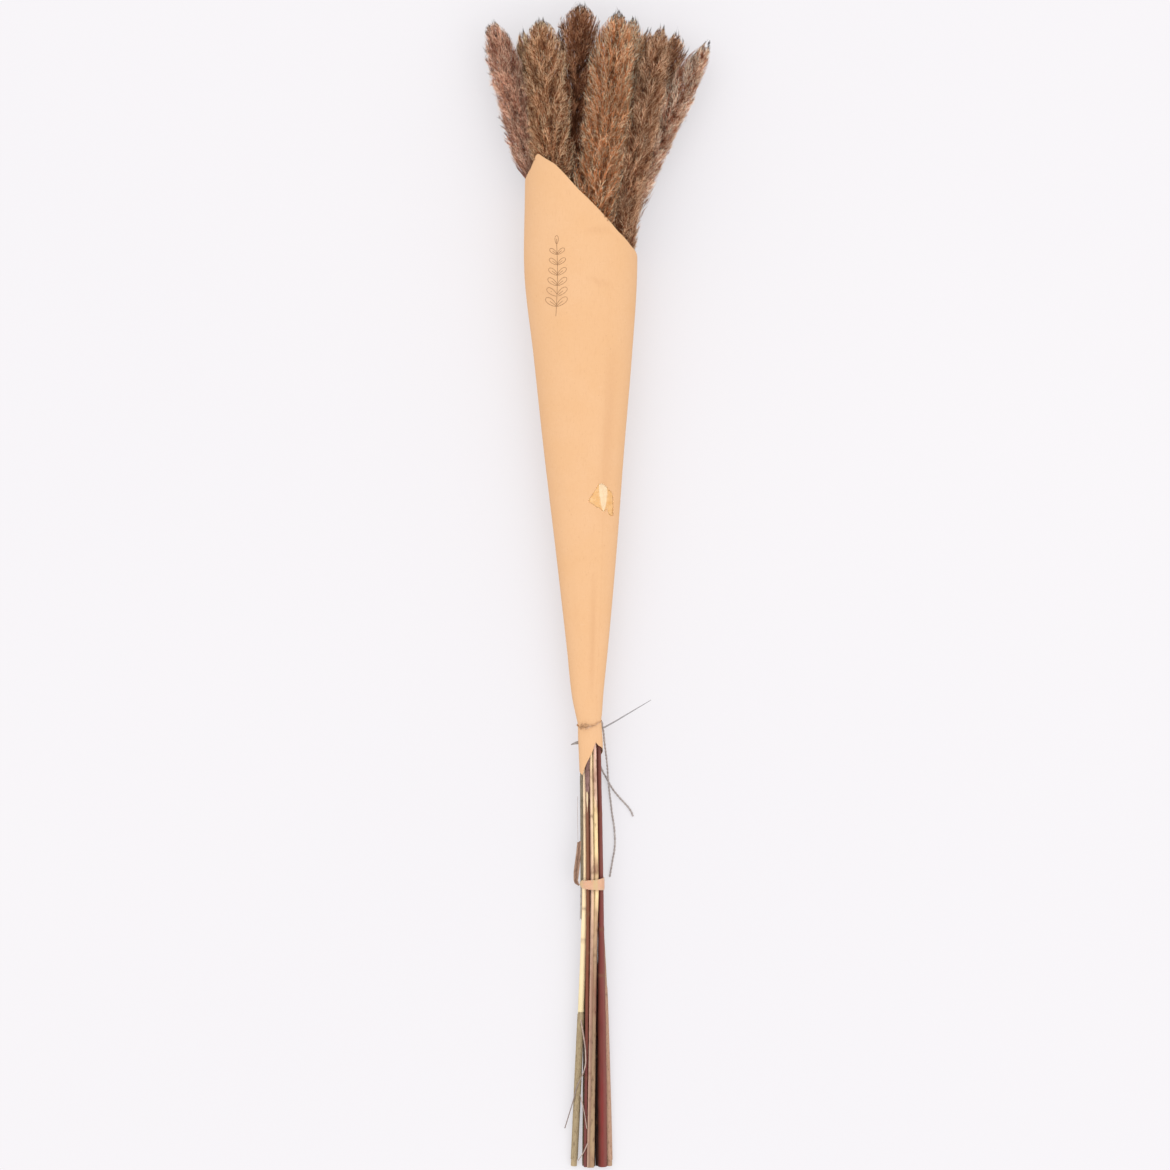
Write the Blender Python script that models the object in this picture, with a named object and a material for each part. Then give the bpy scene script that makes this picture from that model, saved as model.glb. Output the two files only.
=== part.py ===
"""A bundle of dried reed plumes, sold as pampas grass, tied in a paper sleeve.

Ten cut reeds lie together on a flat surface. Their heads fan out of the wide
end of a rolled kraft paper sleeve, which is closed by a piece of clear tape
and tied with twine round its narrow end. The bare stems run on below it
through a flat rubber band to their cut ends.

Metres, +Z up, the surface at Z = 0. +Y runs along the stems to the plume
tips, and +X is the right-hand side of someone who looks down on the bundle
with the tips pointing away. The origin is the middle of the bundle's
footprint. Dimensions are given in millimetres and multiplied by MM.
"""

import math
import random
from dataclasses import dataclass

import bmesh
import bpy
import numpy as np
from mathutils import Matrix, Vector

MM = 0.001

# Where the bundle changes along its length (Y)
FOOT_Y = -494.5
SPREAD_Y = -269.0
BAND_Y = -253.0
TIE_Y = -116.5
JOIN_Y = 205.0
MOUTH_Y = 316.0

# Height of the bundle's axis: low at the cut ends, high in the wide end of the sleeve
AXIS_END_HEIGHT = 7.7
AXIS_SLOPE = 0.0304
AXIS_MOUTH_HEIGHT = 31.5

# Clear distance between pieces that touch
GAP = 0.3

# Stems
NECK_PITCH = 4.25
BAND_PITCH = 4.75
ROW_RATIO = math.sqrt(3.0) / 2.0
NECK_RADIUS = 1.9
BAND_RADIUS = 2.15
STEM_STATIONS = (100.0, -20.0, -80.0, -104.0, -116.5, -136.0, -195.0, -253.0, -285.0, -335.0, -410.0)
PATH_SMOOTHING = 12.0

# Plumes
NEEDLES_PER_PLUME = 70
NEEDLE_LENGTH = 34.0
NEEDLE_RADIUS = 1.35
NEEDLE_ANGLE = 27.0
CORE_RADIUS = 3.6
CORE_RINGS = 10
TUFT = 13.0
CELL_MARGIN = 1.3
GOLDEN_ANGLE = math.radians(137.508)
SEED = 20

# Paper sleeve
PAPER = 0.7
PAPER_STEP = 1.05
SLEEVE_WALL = 1.6
OVERLAP_START = 107.0
SWEEP = 405.0
SLEEVE_COLUMNS = 36
# Its slanted mouth: angle round it and Y, with the peak at the upper left
MOUTH_EDGE = (
    (0.0, 280.0), (13.0, 285.0), (43.0, 296.7), (70.0, 313.8), (90.0, 330.3), (105.0, 346.4), (116.0, 355.9),
    (139.0, 365.5), (160.0, 352.0), (180.0, 344.4), (225.0, 330.0), (270.0, 308.0), (315.0, 288.0),
    (360.0, 280.0),
)
# Its lower edge: how far the sheet has wound from its hidden inner edge, and Y
LOWER_EDGE = (
    (0.0, -131.0), (45.0, -132.0), (107.0, -138.0), (197.0, -147.0), (287.0, -155.0), (337.0, -158.3),
    (373.0, -144.0), (393.0, -133.0), (SWEEP, -129.5),
)
SLEEVE_ROWS = (-125.0, -116.0, -104.0, -80.0, -40.0, 10.0, 60.0, 115.0, 170.0, 225.0)

# Twine, band, tape and loose leaf
TWINE_RADIUS = 0.85
TWINE_STEPS = 26
TWINE_TILT = 1.2
# The knot's strands: angle round the neck, shift along Y and lift off the paper
KNOT_STRANDS = (
    ((132.0, -0.2, 0.1), (120.0, 1.6, 0.5), (106.0, 2.2, 1.0), (93.0, 1.5, 0.9), (80.0, -0.3, 0.2)),
    ((130.0, 0.2, 0.2), (118.0, -2.1, 0.7), (104.0, -2.6, 1.0), (92.0, -1.7, 1.2), (82.0, 0.4, 0.4)),
    ((112.0, -3.6, 0.9), (108.0, -1.2, 1.9), (102.0, 1.4, 2.0), (98.0, 3.4, 1.0)),
)
CORD_SPACING = 4.6
BAND_HALF_SIZE = (9.9, 7.15)
BAND_SQUARENESS = 2.7
BAND_THICKNESS = 1.0
BAND_STEPS = 28
BAND_WIDTH = 8.2
BAND_WIDTH_CHANGE = 2.4
TAPE_THICKNESS = 0.35
FILAMENT_RADIUS = 0.45

# Routes of the loose ends, as points (X, Y, Z)
LONG_END_ROUTE = (
    (4.3, -123.5, 15.8), (5.0, -131.0, 13.2), (6.1, -140.0, 9.8), (7.3, -150.0, 6.6), (8.1, -162.0, 3.7),
    (9.6, -176.5, 1.3), (11.5, -192.0, 0.95), (13.8, -209.0, 0.95), (14.0, -221.0, 0.95),
    (11.9, -234.0, 0.95), (9.6, -247.4, 0.95),
)
SHORT_END_ROUTE = (
    (-4.6, -124.0, 9.4), (-3.3, -133.5, 8.0), (-0.8, -144.0, 6.0), (3.0, -155.5, 3.2), (7.2, -163.4, 1.0),
    (11.4, -170.8, 0.95), (17.3, -178.6, 0.95), (23.0, -184.8, 0.95), (27.0, -189.6, 0.95),
    (29.6, -195.4, 0.95),
)
BLADE_ROUTE = (
    (3.5, -118.9, 19.5), (12.0, -114.2, 20.5), (23.0, -107.6, 21.8), (34.0, -101.0, 22.8),
    (44.5, -94.7, 23.4),
)
STUB_ROUTE = ((-18.3, -130.6, 19.0), (-20.6, -131.2, 19.2), (-23.3, -132.0, 19.3))
SHRED_ROUTE = (
    (-15.8, -362.0, 10.6), (-14.6, -371.0, 14.0), (-12.6, -383.0, 16.4), (-11.2, -395.5, 16.6),
    (-11.6, -408.0, 15.8), (-13.9, -415.0, 14.6), (-18.0, -424.0, 12.0), (-21.5, -437.0, 9.4),
    (-25.7, -451.5, 6.0), (-28.9, -462.3, 3.6),
)

# The loose leaf by the band: X, Y, Z and half its width at places down its length
LEAF_STATIONS = (
    (-16.9, -215.0, 17.6, 1.4), (-17.3, -224.0, 17.0, 1.5), (-18.0, -233.0, 16.2, 1.5),
    (-18.8, -242.0, 15.2, 1.8), (-19.0, -248.0, 14.4, 2.1), (-18.4, -252.0, 14.0, 1.3),
)
LEAF_THICKNESS = 0.7

# The tape: X and its lowest and highest Y at places across it
TAPE_STATIONS = (
    (-9.1, 73.0, 75.0), (-5.2, 71.2, 80.0), (-1.4, 68.6, 85.0), (0.8, 67.0, 87.6), (4.3, 64.9, 87.6),
    (7.4, 62.5, 86.5), (10.2, 60.4, 82.0), (12.6, 59.6, 78.4),
)


@dataclass(frozen=True)
class Section:
    """The outline across the bundle's axis at one place along Y."""

    y: float
    centre_x: float
    half_width: float
    half_height: float


SECTIONS = (
    Section(-300.0, -5.2, 10.9, 8.3),
    Section(-253.0, -5.5, 10.8, 8.2),
    Section(-160.0, -6.6, 10.6, 8.1),
    Section(-130.0, -7.0, 10.6, 8.1),
    Section(-116.5, -7.6, 10.4, 7.9),
    Section(-95.0, -9.0, 13.2, 10.4),
    Section(-50.0, -9.3, 17.9, 14.0),
    Section(30.0, -10.3, 26.0, 19.6),
    Section(115.0, -12.2, 34.2, 24.6),
    Section(200.0, -13.3, 42.3, 28.9),
    Section(265.0, -14.9, 48.0, 31.8),
    Section(330.0, -15.0, 47.6, 33.2),
    Section(370.0, -15.0, 47.0, 33.6),
)


@dataclass(frozen=True)
class Reed:
    """One reed, from its cut end to the tip of its head, in millimetres."""

    name: str
    column: float
    row: int
    mouth: tuple
    tip: tuple
    fan: float
    foot: tuple
    spread: float
    foot_radius: float
    stem_colour: tuple
    plume_colour: tuple


BROWN = (0.29, 0.165, 0.105)
MAUVE = (0.34, 0.205, 0.17)
TAN = (0.40, 0.245, 0.155)
DARK = (0.22, 0.12, 0.08)

REEDS = (
    Reed("01", -1.5, 0, (-48.0, 31.5), (-90.4, 479.9, 30), 1.15, (-21.2, 2.8), 1.2, 2.6,
         (0.56, 0.42, 0.24), MAUVE),
    Reed("02", -1.0, -1, (-42.5, 15.5), (-65.3, 475.5, 14), 1.0, (-13.6, 2.7), 0.7, 2.1,
         (0.42, 0.27, 0.14), DARK),
    Reed("03", -1.0, 1, (-36.8, 48.5), (-49.4, 478.0, 48), 1.0, (-12.6, 7.6), 1.0, 2.0,
         (0.20, 0.055, 0.035), TAN),
    Reed("04", -0.5, 0, (-26.0, 32.0), (-15.0, 493.5, 34), 1.0, (-9.0, 2.9), 1.0, 2.1,
         (0.42, 0.31, 0.16), BROWN),
    Reed("05", 0.0, 1, (-3.4, 49.0), (16.5, 483.8, 52), 0.8, (-9.4, 10.3), 1.0, 1.6,
         (0.70, 0.42, 0.27), TAN),
    Reed("06", 0.5, 0, (1.0, 31.5), (31.6, 482.9, 32), 0.9, (-4.7, 4.2), 1.0, 1.8,
         (0.15, 0.06, 0.04), TAN),
    Reed("07", 0.0, -1, (-12.5, 15.5), (43.0, 476.2, 15), 0.9, (-0.6, 2.6), 0.4, 2.1,
         (0.36, 0.22, 0.12), DARK),
    Reed("08", 1.0, 1, (19.0, 44.0), (53.2, 473.7, 44), 0.9, (-5.0, 9.4), 1.0, 2.5,
         (0.72, 0.58, 0.30), BROWN),
    Reed("09", 1.0, -1, (15.0, 16.0), (66.9, 474.0, 13), 0.9, (10.0, 2.8), 0.5, 2.5,
         (0.62, 0.36, 0.25), BROWN),
    Reed("10", 1.5, 0, (22.6, 28.0), (93.6, 463.8, 26), 1.0, (4.3, 5.6), 0.9, 3.3,
         (0.25, 0.07, 0.05), MAUVE),
)


def blend(a, b, share):
    """The value that lies `share` of the way from a to b."""
    return a + (b - a) * share


def smooth_value(xs, values, x):
    """A smooth curve through the points (xs, values), read at x."""
    xs = np.asarray(xs, float)
    values = np.asarray(values, float)
    slopes = np.gradient(values, xs)
    place = int(np.clip(np.searchsorted(xs, x) - 1, 0, len(xs) - 2))
    width = xs[place + 1] - xs[place]
    t = (x - xs[place]) / width
    h00 = 2 * t**3 - 3 * t**2 + 1
    h10 = t**3 - 2 * t**2 + t
    h01 = -2 * t**3 + 3 * t**2
    h11 = t**3 - t**2
    return float(
        h00 * values[place]
        + h10 * width * slopes[place]
        + h01 * values[place + 1]
        + h11 * width * slopes[place + 1]
    )


def axis_height(y):
    """Height of the bundle's axis, which falls from the sleeve to the cut ends."""
    return min(AXIS_END_HEIGHT + (y - FOOT_Y) * AXIS_SLOPE, AXIS_MOUTH_HEIGHT)


def section(y):
    """Centre X, centre Z, half width, half height and squareness at Y."""
    ys = [s.y for s in SECTIONS]
    y = min(max(y, ys[0]), ys[-1])
    centre_x = smooth_value(ys, [s.centre_x for s in SECTIONS], y)
    half_width = smooth_value(ys, [s.half_width for s in SECTIONS], y)
    half_height = smooth_value(ys, [s.half_height for s in SECTIONS], y)
    squareness = blend(2.5, 2.1, min(max((y - TIE_Y) / 250.0, 0.0), 1.0))
    return centre_x, axis_height(y), half_width, half_height, squareness


def outline_point(y, angle, offset):
    """The point at `angle` degrees on the section at Y, moved out by offset."""
    centre_x, centre_z, half_width, half_height, squareness = section(y)
    c = math.cos(math.radians(angle))
    s = math.sin(math.radians(angle))
    x = centre_x + (half_width + offset) * math.copysign(abs(c) ** (2 / squareness), c)
    z = centre_z + (half_height + offset) * math.copysign(abs(s) ** (2 / squareness), s)
    return Vector((x, y, z))


def slot(reed, y):
    """X and Z of a stem in the packed part of the bundle."""
    share = min(max((TIE_Y - y) / (TIE_Y - BAND_Y), 0.0), 1.0)
    pitch = blend(NECK_PITCH, BAND_PITCH, share)
    centre_x, centre_z = section(y)[:2]
    return centre_x + reed.column * pitch, centre_z + reed.row * pitch * ROW_RATIO


def bent_axis(reed, y):
    """X and Z of a reed's axis at Y, with a corner at the mouth, the tie and the band."""
    if y >= MOUTH_Y:
        share = ((y - MOUTH_Y) / (reed.tip[1] - MOUTH_Y)) ** reed.fan
        start, end = reed.mouth, (reed.tip[0], reed.tip[2])
    elif y >= TIE_Y:
        share = (y - TIE_Y) / (MOUTH_Y - TIE_Y)
        start, end = slot(reed, TIE_Y), reed.mouth
    elif y >= BAND_Y:
        return slot(reed, y)
    else:
        share = (max(SPREAD_Y - y, 0.0) / (SPREAD_Y - FOOT_Y)) ** reed.spread
        start, end = slot(reed, BAND_Y), reed.foot
    return blend(start[0], end[0], share), blend(start[1], end[1], share)


def axis(reed, y):
    """A reed's axis at Y with its corners rounded off."""
    near = [bent_axis(reed, y + step * PATH_SMOOTHING) for step in (-1.0, -0.5, 0.0, 0.5, 1.0)]
    return Vector((sum(x for x, _ in near) / len(near), y, sum(z for _, z in near) / len(near)))


def stem_radius(reed, y):
    """A stem's radius at Y, with the thicker leaf sheaths of its lower part."""
    if y > TIE_Y:
        return NECK_RADIUS
    if y > BAND_Y:
        return blend(BAND_RADIUS, NECK_RADIUS, (y - BAND_Y) / (TIE_Y - BAND_Y))
    share = (BAND_Y - y) / (BAND_Y - FOOT_Y)
    return blend(BAND_RADIUS, reed.foot_radius, min(share * 1.5, 1.0))


def material(name, colour, roughness=0.8):
    """A Principled BSDF material."""
    made = bpy.data.materials.new(name)
    made.use_nodes = True
    shader = made.node_tree.nodes["Principled BSDF"]
    shader.inputs["Base Color"].default_value = (*colour, 1.0)
    shader.inputs["Roughness"].default_value = roughness
    shader.inputs["Metallic"].default_value = 0.0
    return made


def add_object(name, data, colour, roughness=0.8):
    """Link an object for the mesh or curve `data` and give it its material."""
    made = bpy.data.objects.new(name, data)
    bpy.context.scene.collection.objects.link(made)
    data.materials.clear()
    data.materials.append(material(name, colour, roughness))
    return made


def rod_curve(name, points, radii, resolution):
    """A round rod along points (mm) with a radius at each of them, closed at its ends."""
    curve = bpy.data.curves.new(name, "CURVE")
    curve.dimensions = "3D"
    curve.bevel_depth = MM
    curve.bevel_resolution = resolution
    curve.use_fill_caps = True
    spline = curve.splines.new("POLY")
    spline.points.add(len(points) - 1)
    for place, (point, radius) in enumerate(zip(points, radii)):
        spline.points[place].co = (*(point * MM), 1.0)
        spline.points[place].radius = radius
    return curve


def curve_to_mesh(curve):
    """The closed mesh of a curve, as it is drawn."""
    holder = bpy.data.objects.new("holder", curve)
    bpy.context.scene.collection.objects.link(holder)
    depsgraph = bpy.context.evaluated_depsgraph_get()
    mesh = bpy.data.meshes.new_from_object(holder.evaluated_get(depsgraph))
    bpy.data.objects.remove(holder)
    return mesh


def fuse(target, pieces, solver="EXACT"):
    """Join the objects in `pieces` to target by one Boolean union, then remove them."""
    group = bpy.data.collections.new(target.name + "_pieces")
    bpy.context.scene.collection.children.link(group)
    for piece in pieces:
        bpy.context.scene.collection.objects.unlink(piece)
        group.objects.link(piece)
    union = target.modifiers.new("union", "BOOLEAN")
    union.operation = "UNION"
    union.operand_type = "COLLECTION"
    union.collection = group
    union.solver = solver
    depsgraph = bpy.context.evaluated_depsgraph_get()
    mesh = bpy.data.meshes.new_from_object(target.evaluated_get(depsgraph))
    target.modifiers.clear()
    target.data = mesh
    for piece in list(group.objects):
        bpy.data.objects.remove(piece)
    bpy.data.collections.remove(group)


def needle_mesh():
    """A three-sided needle of unit radius and length along +Z."""
    mesh = bpy.data.meshes.new("needle")
    bm = bmesh.new()
    bmesh.ops.create_cone(bm, cap_ends=True, segments=3, radius1=1.0, radius2=0.0, depth=1.0,
                          matrix=Matrix.Translation((0.0, 0.0, 0.5)))
    bmesh.ops.recalc_face_normals(bm, faces=bm.faces)
    bm.to_mesh(mesh)
    bm.free()
    return mesh


def inside_sleeve(point, clearance):
    """Whether a point lies inside the sleeve's inner wall by the clearance."""
    centre_x, centre_z, half_width, half_height, squareness = section(point.y)
    across = abs(point.x - centre_x) / (half_width - SLEEVE_WALL - clearance)
    up = abs(point.z - centre_z) / (half_height - SLEEVE_WALL - clearance)
    return across**squareness + up**squareness < 1.0 and point.z > PAPER + clearance


def fits_its_cell(reed, point):
    """Whether a point of a head keeps clear of the other heads, the paper and the surface."""
    own = (point - axis(reed, point.y)).length
    for other in REEDS:
        if other is not reed and (point - axis(other, point.y)).length < own + CELL_MARGIN:
            return False
    centre_x, centre_z, half_width = section(point.y)[:3]
    angle = math.degrees(math.atan2(point.z - centre_z, point.x - centre_x))
    if point.y < mouth_edge(angle) + 5.0:
        return inside_sleeve(point, 1.8)
    return point.z > 1.2


def needle_matrix(root, direction, length, radius):
    """Place a unit needle with its root and direction (mm)."""
    turn = direction.to_track_quat("Z", "Y").to_matrix().to_4x4()
    scale = Matrix.Diagonal((radius * MM, radius * MM, length * MM, 1.0))
    return Matrix.Translation(root * MM) @ turn @ scale


def core_radius(share):
    """Radius of a head's core from its foot (0) to its tip (1)."""
    widening = blend(NECK_RADIUS + 0.1, CORE_RADIUS, min(share / 0.2, 1.0))
    return widening * blend(1.0, 0.28, max(share - 0.55, 0.0) / 0.45)


def build_plume(reed, needle, seed):
    """One reed's head: a slim core with needles all round it, fused into one solid."""
    rng = random.Random(seed)
    start = JOIN_Y + GAP / 2
    end = reed.tip[1] - TUFT
    ys = [blend(start, end, i / (CORE_RINGS - 1)) for i in range(CORE_RINGS)]
    points = [axis(reed, y) for y in ys]
    radii = [core_radius(i / (CORE_RINGS - 1)) for i in range(CORE_RINGS)]
    mesh = curve_to_mesh(rod_curve("plume_" + reed.name, points, radii, 1))
    plume = add_object("plume_" + reed.name, mesh, reed.plume_colour, 0.95)
    pieces = []
    for i in range(NEEDLES_PER_PLUME):
        share = (i + 0.5) / NEEDLES_PER_PLUME
        y = blend(start + 6.0, end - 6.0, share)
        centre = axis(reed, y)
        along = (axis(reed, y + 5.0) - axis(reed, y - 5.0)).normalized()
        side = along.orthogonal().normalized()
        around = i * GOLDEN_ANGLE + rng.uniform(-0.25, 0.25)
        out = Matrix.Rotation(around, 3, along) @ side
        closing = blend(1.0, 0.7, max(share - 0.7, 0.0) / 0.3)
        slant = math.radians(NEEDLE_ANGLE) * rng.uniform(0.85, 1.15) * closing
        direction = (along * math.cos(slant) + out * math.sin(slant)).normalized()
        full = NEEDLE_LENGTH * rng.uniform(0.85, 1.1) * blend(1.0, 0.85, max(share - 0.75, 0.0) / 0.25)
        root = centre + out * core_radius(share) * 0.25
        for cut in (1.0, 0.85, 0.7, 0.55, 0.45, 0.35):
            length = full * cut
            if all(fits_its_cell(reed, root + direction * length * t) for t in (0.4, 0.55, 0.7, 0.85, 1.0)):
                break
        else:
            continue
        piece = bpy.data.objects.new("needle", needle)
        piece.matrix_world = needle_matrix(root, direction, length, NEEDLE_RADIUS * blend(0.8, 1.0, cut))
        bpy.context.scene.collection.objects.link(piece)
        pieces.append(piece)
    tip_point = axis(reed, end)
    along = (axis(reed, end) - axis(reed, end - 5.0)).normalized()
    last = bpy.data.objects.new("needle", needle)
    last.matrix_world = needle_matrix(tip_point - along * 4.0, along, TUFT + 4.0, NEEDLE_RADIUS * 0.8)
    bpy.context.scene.collection.objects.link(last)
    pieces.append(last)
    fuse(plume, pieces)
    return plume


def mouth_edge(angle):
    """Y of the sleeve's slanted mouth at an angle round it: its peak is upper left."""
    angle = angle % 360.0
    return float(np.interp(angle, [a for a, _ in MOUTH_EDGE], [y for _, y in MOUTH_EDGE]))


def lower_edge(sweep):
    """Y of the sleeve's lower edge, from the hidden inner edge of the sheet to the outer one."""
    return float(np.interp(sweep, [a for a, _ in LOWER_EDGE], [y for _, y in LOWER_EDGE]))


def build_sleeve():
    """The rolled paper: a sheet wound a little more than once round, open at both ends."""
    bm = bmesh.new()
    grids = []
    for lift in (0.0, PAPER):
        grid = []
        for column in range(SLEEVE_COLUMNS + 1):
            sweep = SWEEP * column / SLEEVE_COLUMNS
            angle = OVERLAP_START - sweep
            top = mouth_edge(angle)
            rows = [lower_edge(sweep), *SLEEVE_ROWS, blend(SLEEVE_ROWS[-1], top, 0.5), top]
            line = []
            for y in rows:
                offset = -SLEEVE_WALL + PAPER_STEP * sweep / 360.0 + lift
                point = outline_point(y, angle, offset)
                point.z = max(point.z, PAPER - lift)
                line.append(bm.verts.new(point * MM))
            grid.append(line)
        grids.append(grid)
    inner, outer = grids
    count = len(inner[0])
    for column in range(SLEEVE_COLUMNS):
        following = column + 1
        for row in range(count - 1):
            for grid in (outer, inner):
                low, high = grid[column], grid[following]
                bm.faces.new((low[row], high[row], high[row + 1], low[row + 1]))
        for row in (0, count - 1):
            bottom = (inner[column][row], inner[following][row])
            top = (outer[following][row], outer[column][row])
            bm.faces.new((*bottom, *top))
    for column in (0, SLEEVE_COLUMNS):
        low, high = inner[column], outer[column]
        for row in range(count - 1):
            bm.faces.new((low[row], low[row + 1], high[row + 1], high[row]))
    bmesh.ops.recalc_face_normals(bm, faces=bm.faces)
    mesh = bpy.data.meshes.new("paper_sleeve")
    bm.to_mesh(mesh)
    bm.free()
    mesh.shade_smooth()
    mesh.set_sharp_from_angle(angle=math.radians(40))
    return add_object("paper_sleeve", mesh, (0.95, 0.56, 0.29), 0.85)


def build_stem(reed):
    """One bare stem, from just below its head to its cut end."""
    ys = (JOIN_Y - GAP / 2, *STEM_STATIONS, FOOT_Y)
    points = [axis(reed, y) for y in ys]
    radii = [stem_radius(reed, y) for y in ys]
    mesh = curve_to_mesh(rod_curve("stem_" + reed.name, points, radii, 2))
    return add_object("stem_" + reed.name, mesh, reed.stem_colour, 0.6)


def smooth_route(points, spacing):
    """Points about `spacing` apart on a smooth curve through a route's own points."""
    points = [Vector(p) for p in points]
    reach = [0.0]
    for a, b in zip(points, points[1:]):
        reach.append(reach[-1] + (b - a).length)
    count = max(int(round(reach[-1] / spacing)), 2)
    made = []
    for i in range(count + 1):
        at = reach[-1] * i / count
        made.append(Vector([smooth_value(reach, [p[k] for p in points], at) for k in range(3)]))
    return made


def add_shred(stem):
    """The curled shred of leaf that grows from the left stem's sheath."""
    points = smooth_route(SHRED_ROUTE, 9.0)
    curve = rod_curve("shred", points, [FILAMENT_RADIUS] * len(points), 1)
    shred = bpy.data.objects.new("shred", curve_to_mesh(curve))
    bpy.context.scene.collection.objects.link(shred)
    fuse(stem, [shred])


def paper_offset(angle):
    """How far the paper's outermost face stands off the section's outline at an angle."""
    sweep = (OVERLAP_START - angle) % 360.0
    if sweep <= SWEEP - 360.0:
        sweep += 360.0
    return -SLEEVE_WALL + PAPER_STEP * sweep / 360.0 + PAPER


def on_paper(y, angle, lift):
    """A point above the paper at Y and an angle, bridging the step of the overlap."""
    highest = max(paper_offset(angle + turn) for turn in (-15.0, -8.0, 0.0, 8.0, 15.0))
    return outline_point(y, angle, highest + lift)


def twine_point(angle, y_shift=0.0, lift=0.0):
    """The middle of the tied twine at an angle round the neck."""
    y = TIE_Y + TWINE_TILT * math.cos(math.radians(angle)) + y_shift
    return on_paper(y, angle, GAP + TWINE_RADIUS + 0.15 + lift)


def build_tie():
    """The twine round the neck with its knot on top."""
    ring = [twine_point(360.0 * i / TWINE_STEPS) for i in range(TWINE_STEPS)]
    curve = rod_curve("twine_tie", ring, [TWINE_RADIUS] * TWINE_STEPS, 1)
    curve.splines[0].use_cyclic_u = True
    tie = add_object("twine_tie", curve_to_mesh(curve), (0.42, 0.27, 0.15), 0.9)
    pieces = []
    for strand in KNOT_STRANDS:
        points = [twine_point(*place) for place in strand]
        curve = rod_curve("strand", points, [TWINE_RADIUS] * len(points), 1)
        piece = bpy.data.objects.new("strand", curve_to_mesh(curve))
        bpy.context.scene.collection.objects.link(piece)
        pieces.append(piece)
    fuse(tie, pieces)


def build_twine_end(name, angle, route):
    """A loose end of the twine, from the tie down to the surface."""
    start = twine_point(angle) - Vector((0.0, TWINE_RADIUS + GAP + 0.02, 0.0))
    lead = start - Vector((0.0, 1.5, 0.0))
    points = smooth_route((start, lead, *route), CORD_SPACING)
    curve = rod_curve(name, points, [TWINE_RADIUS] * len(points), 2)
    add_object(name, curve, (0.36, 0.28, 0.22), 0.9)


def build_rubber_band():
    """The flat band round the bare stems, wide on the right and narrow on the left."""
    centre_x, centre_z = section(BAND_Y)[:2]
    bm = bmesh.new()
    rings = []
    for i in range(BAND_STEPS):
        angle = 2.0 * math.pi * i / BAND_STEPS
        c, s = math.cos(angle), math.sin(angle)
        half = (BAND_WIDTH + BAND_WIDTH_CHANGE * c) / 2
        corners = []
        for lift, side in ((0.0, -1), (BAND_THICKNESS, -1), (BAND_THICKNESS, 1), (0.0, 1)):
            x = centre_x + (BAND_HALF_SIZE[0] + lift) * math.copysign(abs(c) ** (2 / BAND_SQUARENESS), c)
            z = centre_z + (BAND_HALF_SIZE[1] + lift) * math.copysign(abs(s) ** (2 / BAND_SQUARENESS), s)
            corners.append(bm.verts.new(Vector((x, BAND_Y + side * half, z)) * MM))
        rings.append(corners)
    for i in range(BAND_STEPS):
        here, there = rings[i], rings[(i + 1) % BAND_STEPS]
        for k in range(4):
            bm.faces.new((here[k], here[(k + 1) % 4], there[(k + 1) % 4], there[k]))
    bmesh.ops.recalc_face_normals(bm, faces=bm.faces)
    mesh = bpy.data.meshes.new("rubber_band")
    bm.to_mesh(mesh)
    bm.free()
    add_object("rubber_band", mesh, (0.80, 0.50, 0.31), 0.5)


def build_strip(name, stations, colour, roughness):
    """A closed thin strip from rows of four corner points, one row at each station."""
    bm = bmesh.new()
    rows = [[bm.verts.new(corner * MM) for corner in corners] for corners in stations]
    for here, there in zip(rows, rows[1:]):
        for k in range(4):
            bm.faces.new((here[k], here[(k + 1) % 4], there[(k + 1) % 4], there[k]))
    bm.faces.new(rows[0])
    bm.faces.new(rows[-1])
    bmesh.ops.recalc_face_normals(bm, faces=bm.faces)
    mesh = bpy.data.meshes.new(name)
    bm.to_mesh(mesh)
    bm.free()
    add_object(name, mesh, colour, roughness)


def build_loose_leaf():
    """The dry leaf that stands out on the left, its lower end against the band."""
    stations = []
    for x, y, z, half in LEAF_STATIONS:
        stations.append([
            Vector((x - half, y, z - 0.9)),
            Vector((x + half, y, z)),
            Vector((x + half, y, z + LEAF_THICKNESS)),
            Vector((x - half, y, z + LEAF_THICKNESS - 0.9)),
        ])
    build_strip("loose_leaf", stations, (0.33, 0.19, 0.11), 0.8)


def angle_above(x, y):
    """The angle round the section at Y of the point on its upper side at X."""
    centre_x, _, half_width, _, squareness = section(y)
    across = min(abs(x - centre_x) / half_width, 1.0)
    cosine = math.copysign(across ** (squareness / 2), x - centre_x)
    return math.degrees(math.acos(cosine))


def build_tape():
    """The clear tape that holds the paper's outer edge."""
    stations = []
    for x, low, high in TAPE_STATIONS:
        corners = []
        for y, lift in ((low, 0.0), (high, 0.0), (high, TAPE_THICKNESS), (low, TAPE_THICKNESS)):
            corners.append(on_paper(y, angle_above(x, y), GAP + lift))
        stations.append(corners)
    build_strip("clear_tape", stations, (0.95, 0.72, 0.42), 0.2)


def build_rod(name, route, radii, colour):
    """A plain dry sliver along a route, its radius changing evenly between the two given."""
    points = smooth_route(route, 6.0)
    steps = [blend(radii[0], radii[1], i / (len(points) - 1)) for i in range(len(points))]
    add_object(name, curve_to_mesh(rod_curve(name, points, steps, 1)), colour, 0.8)


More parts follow.
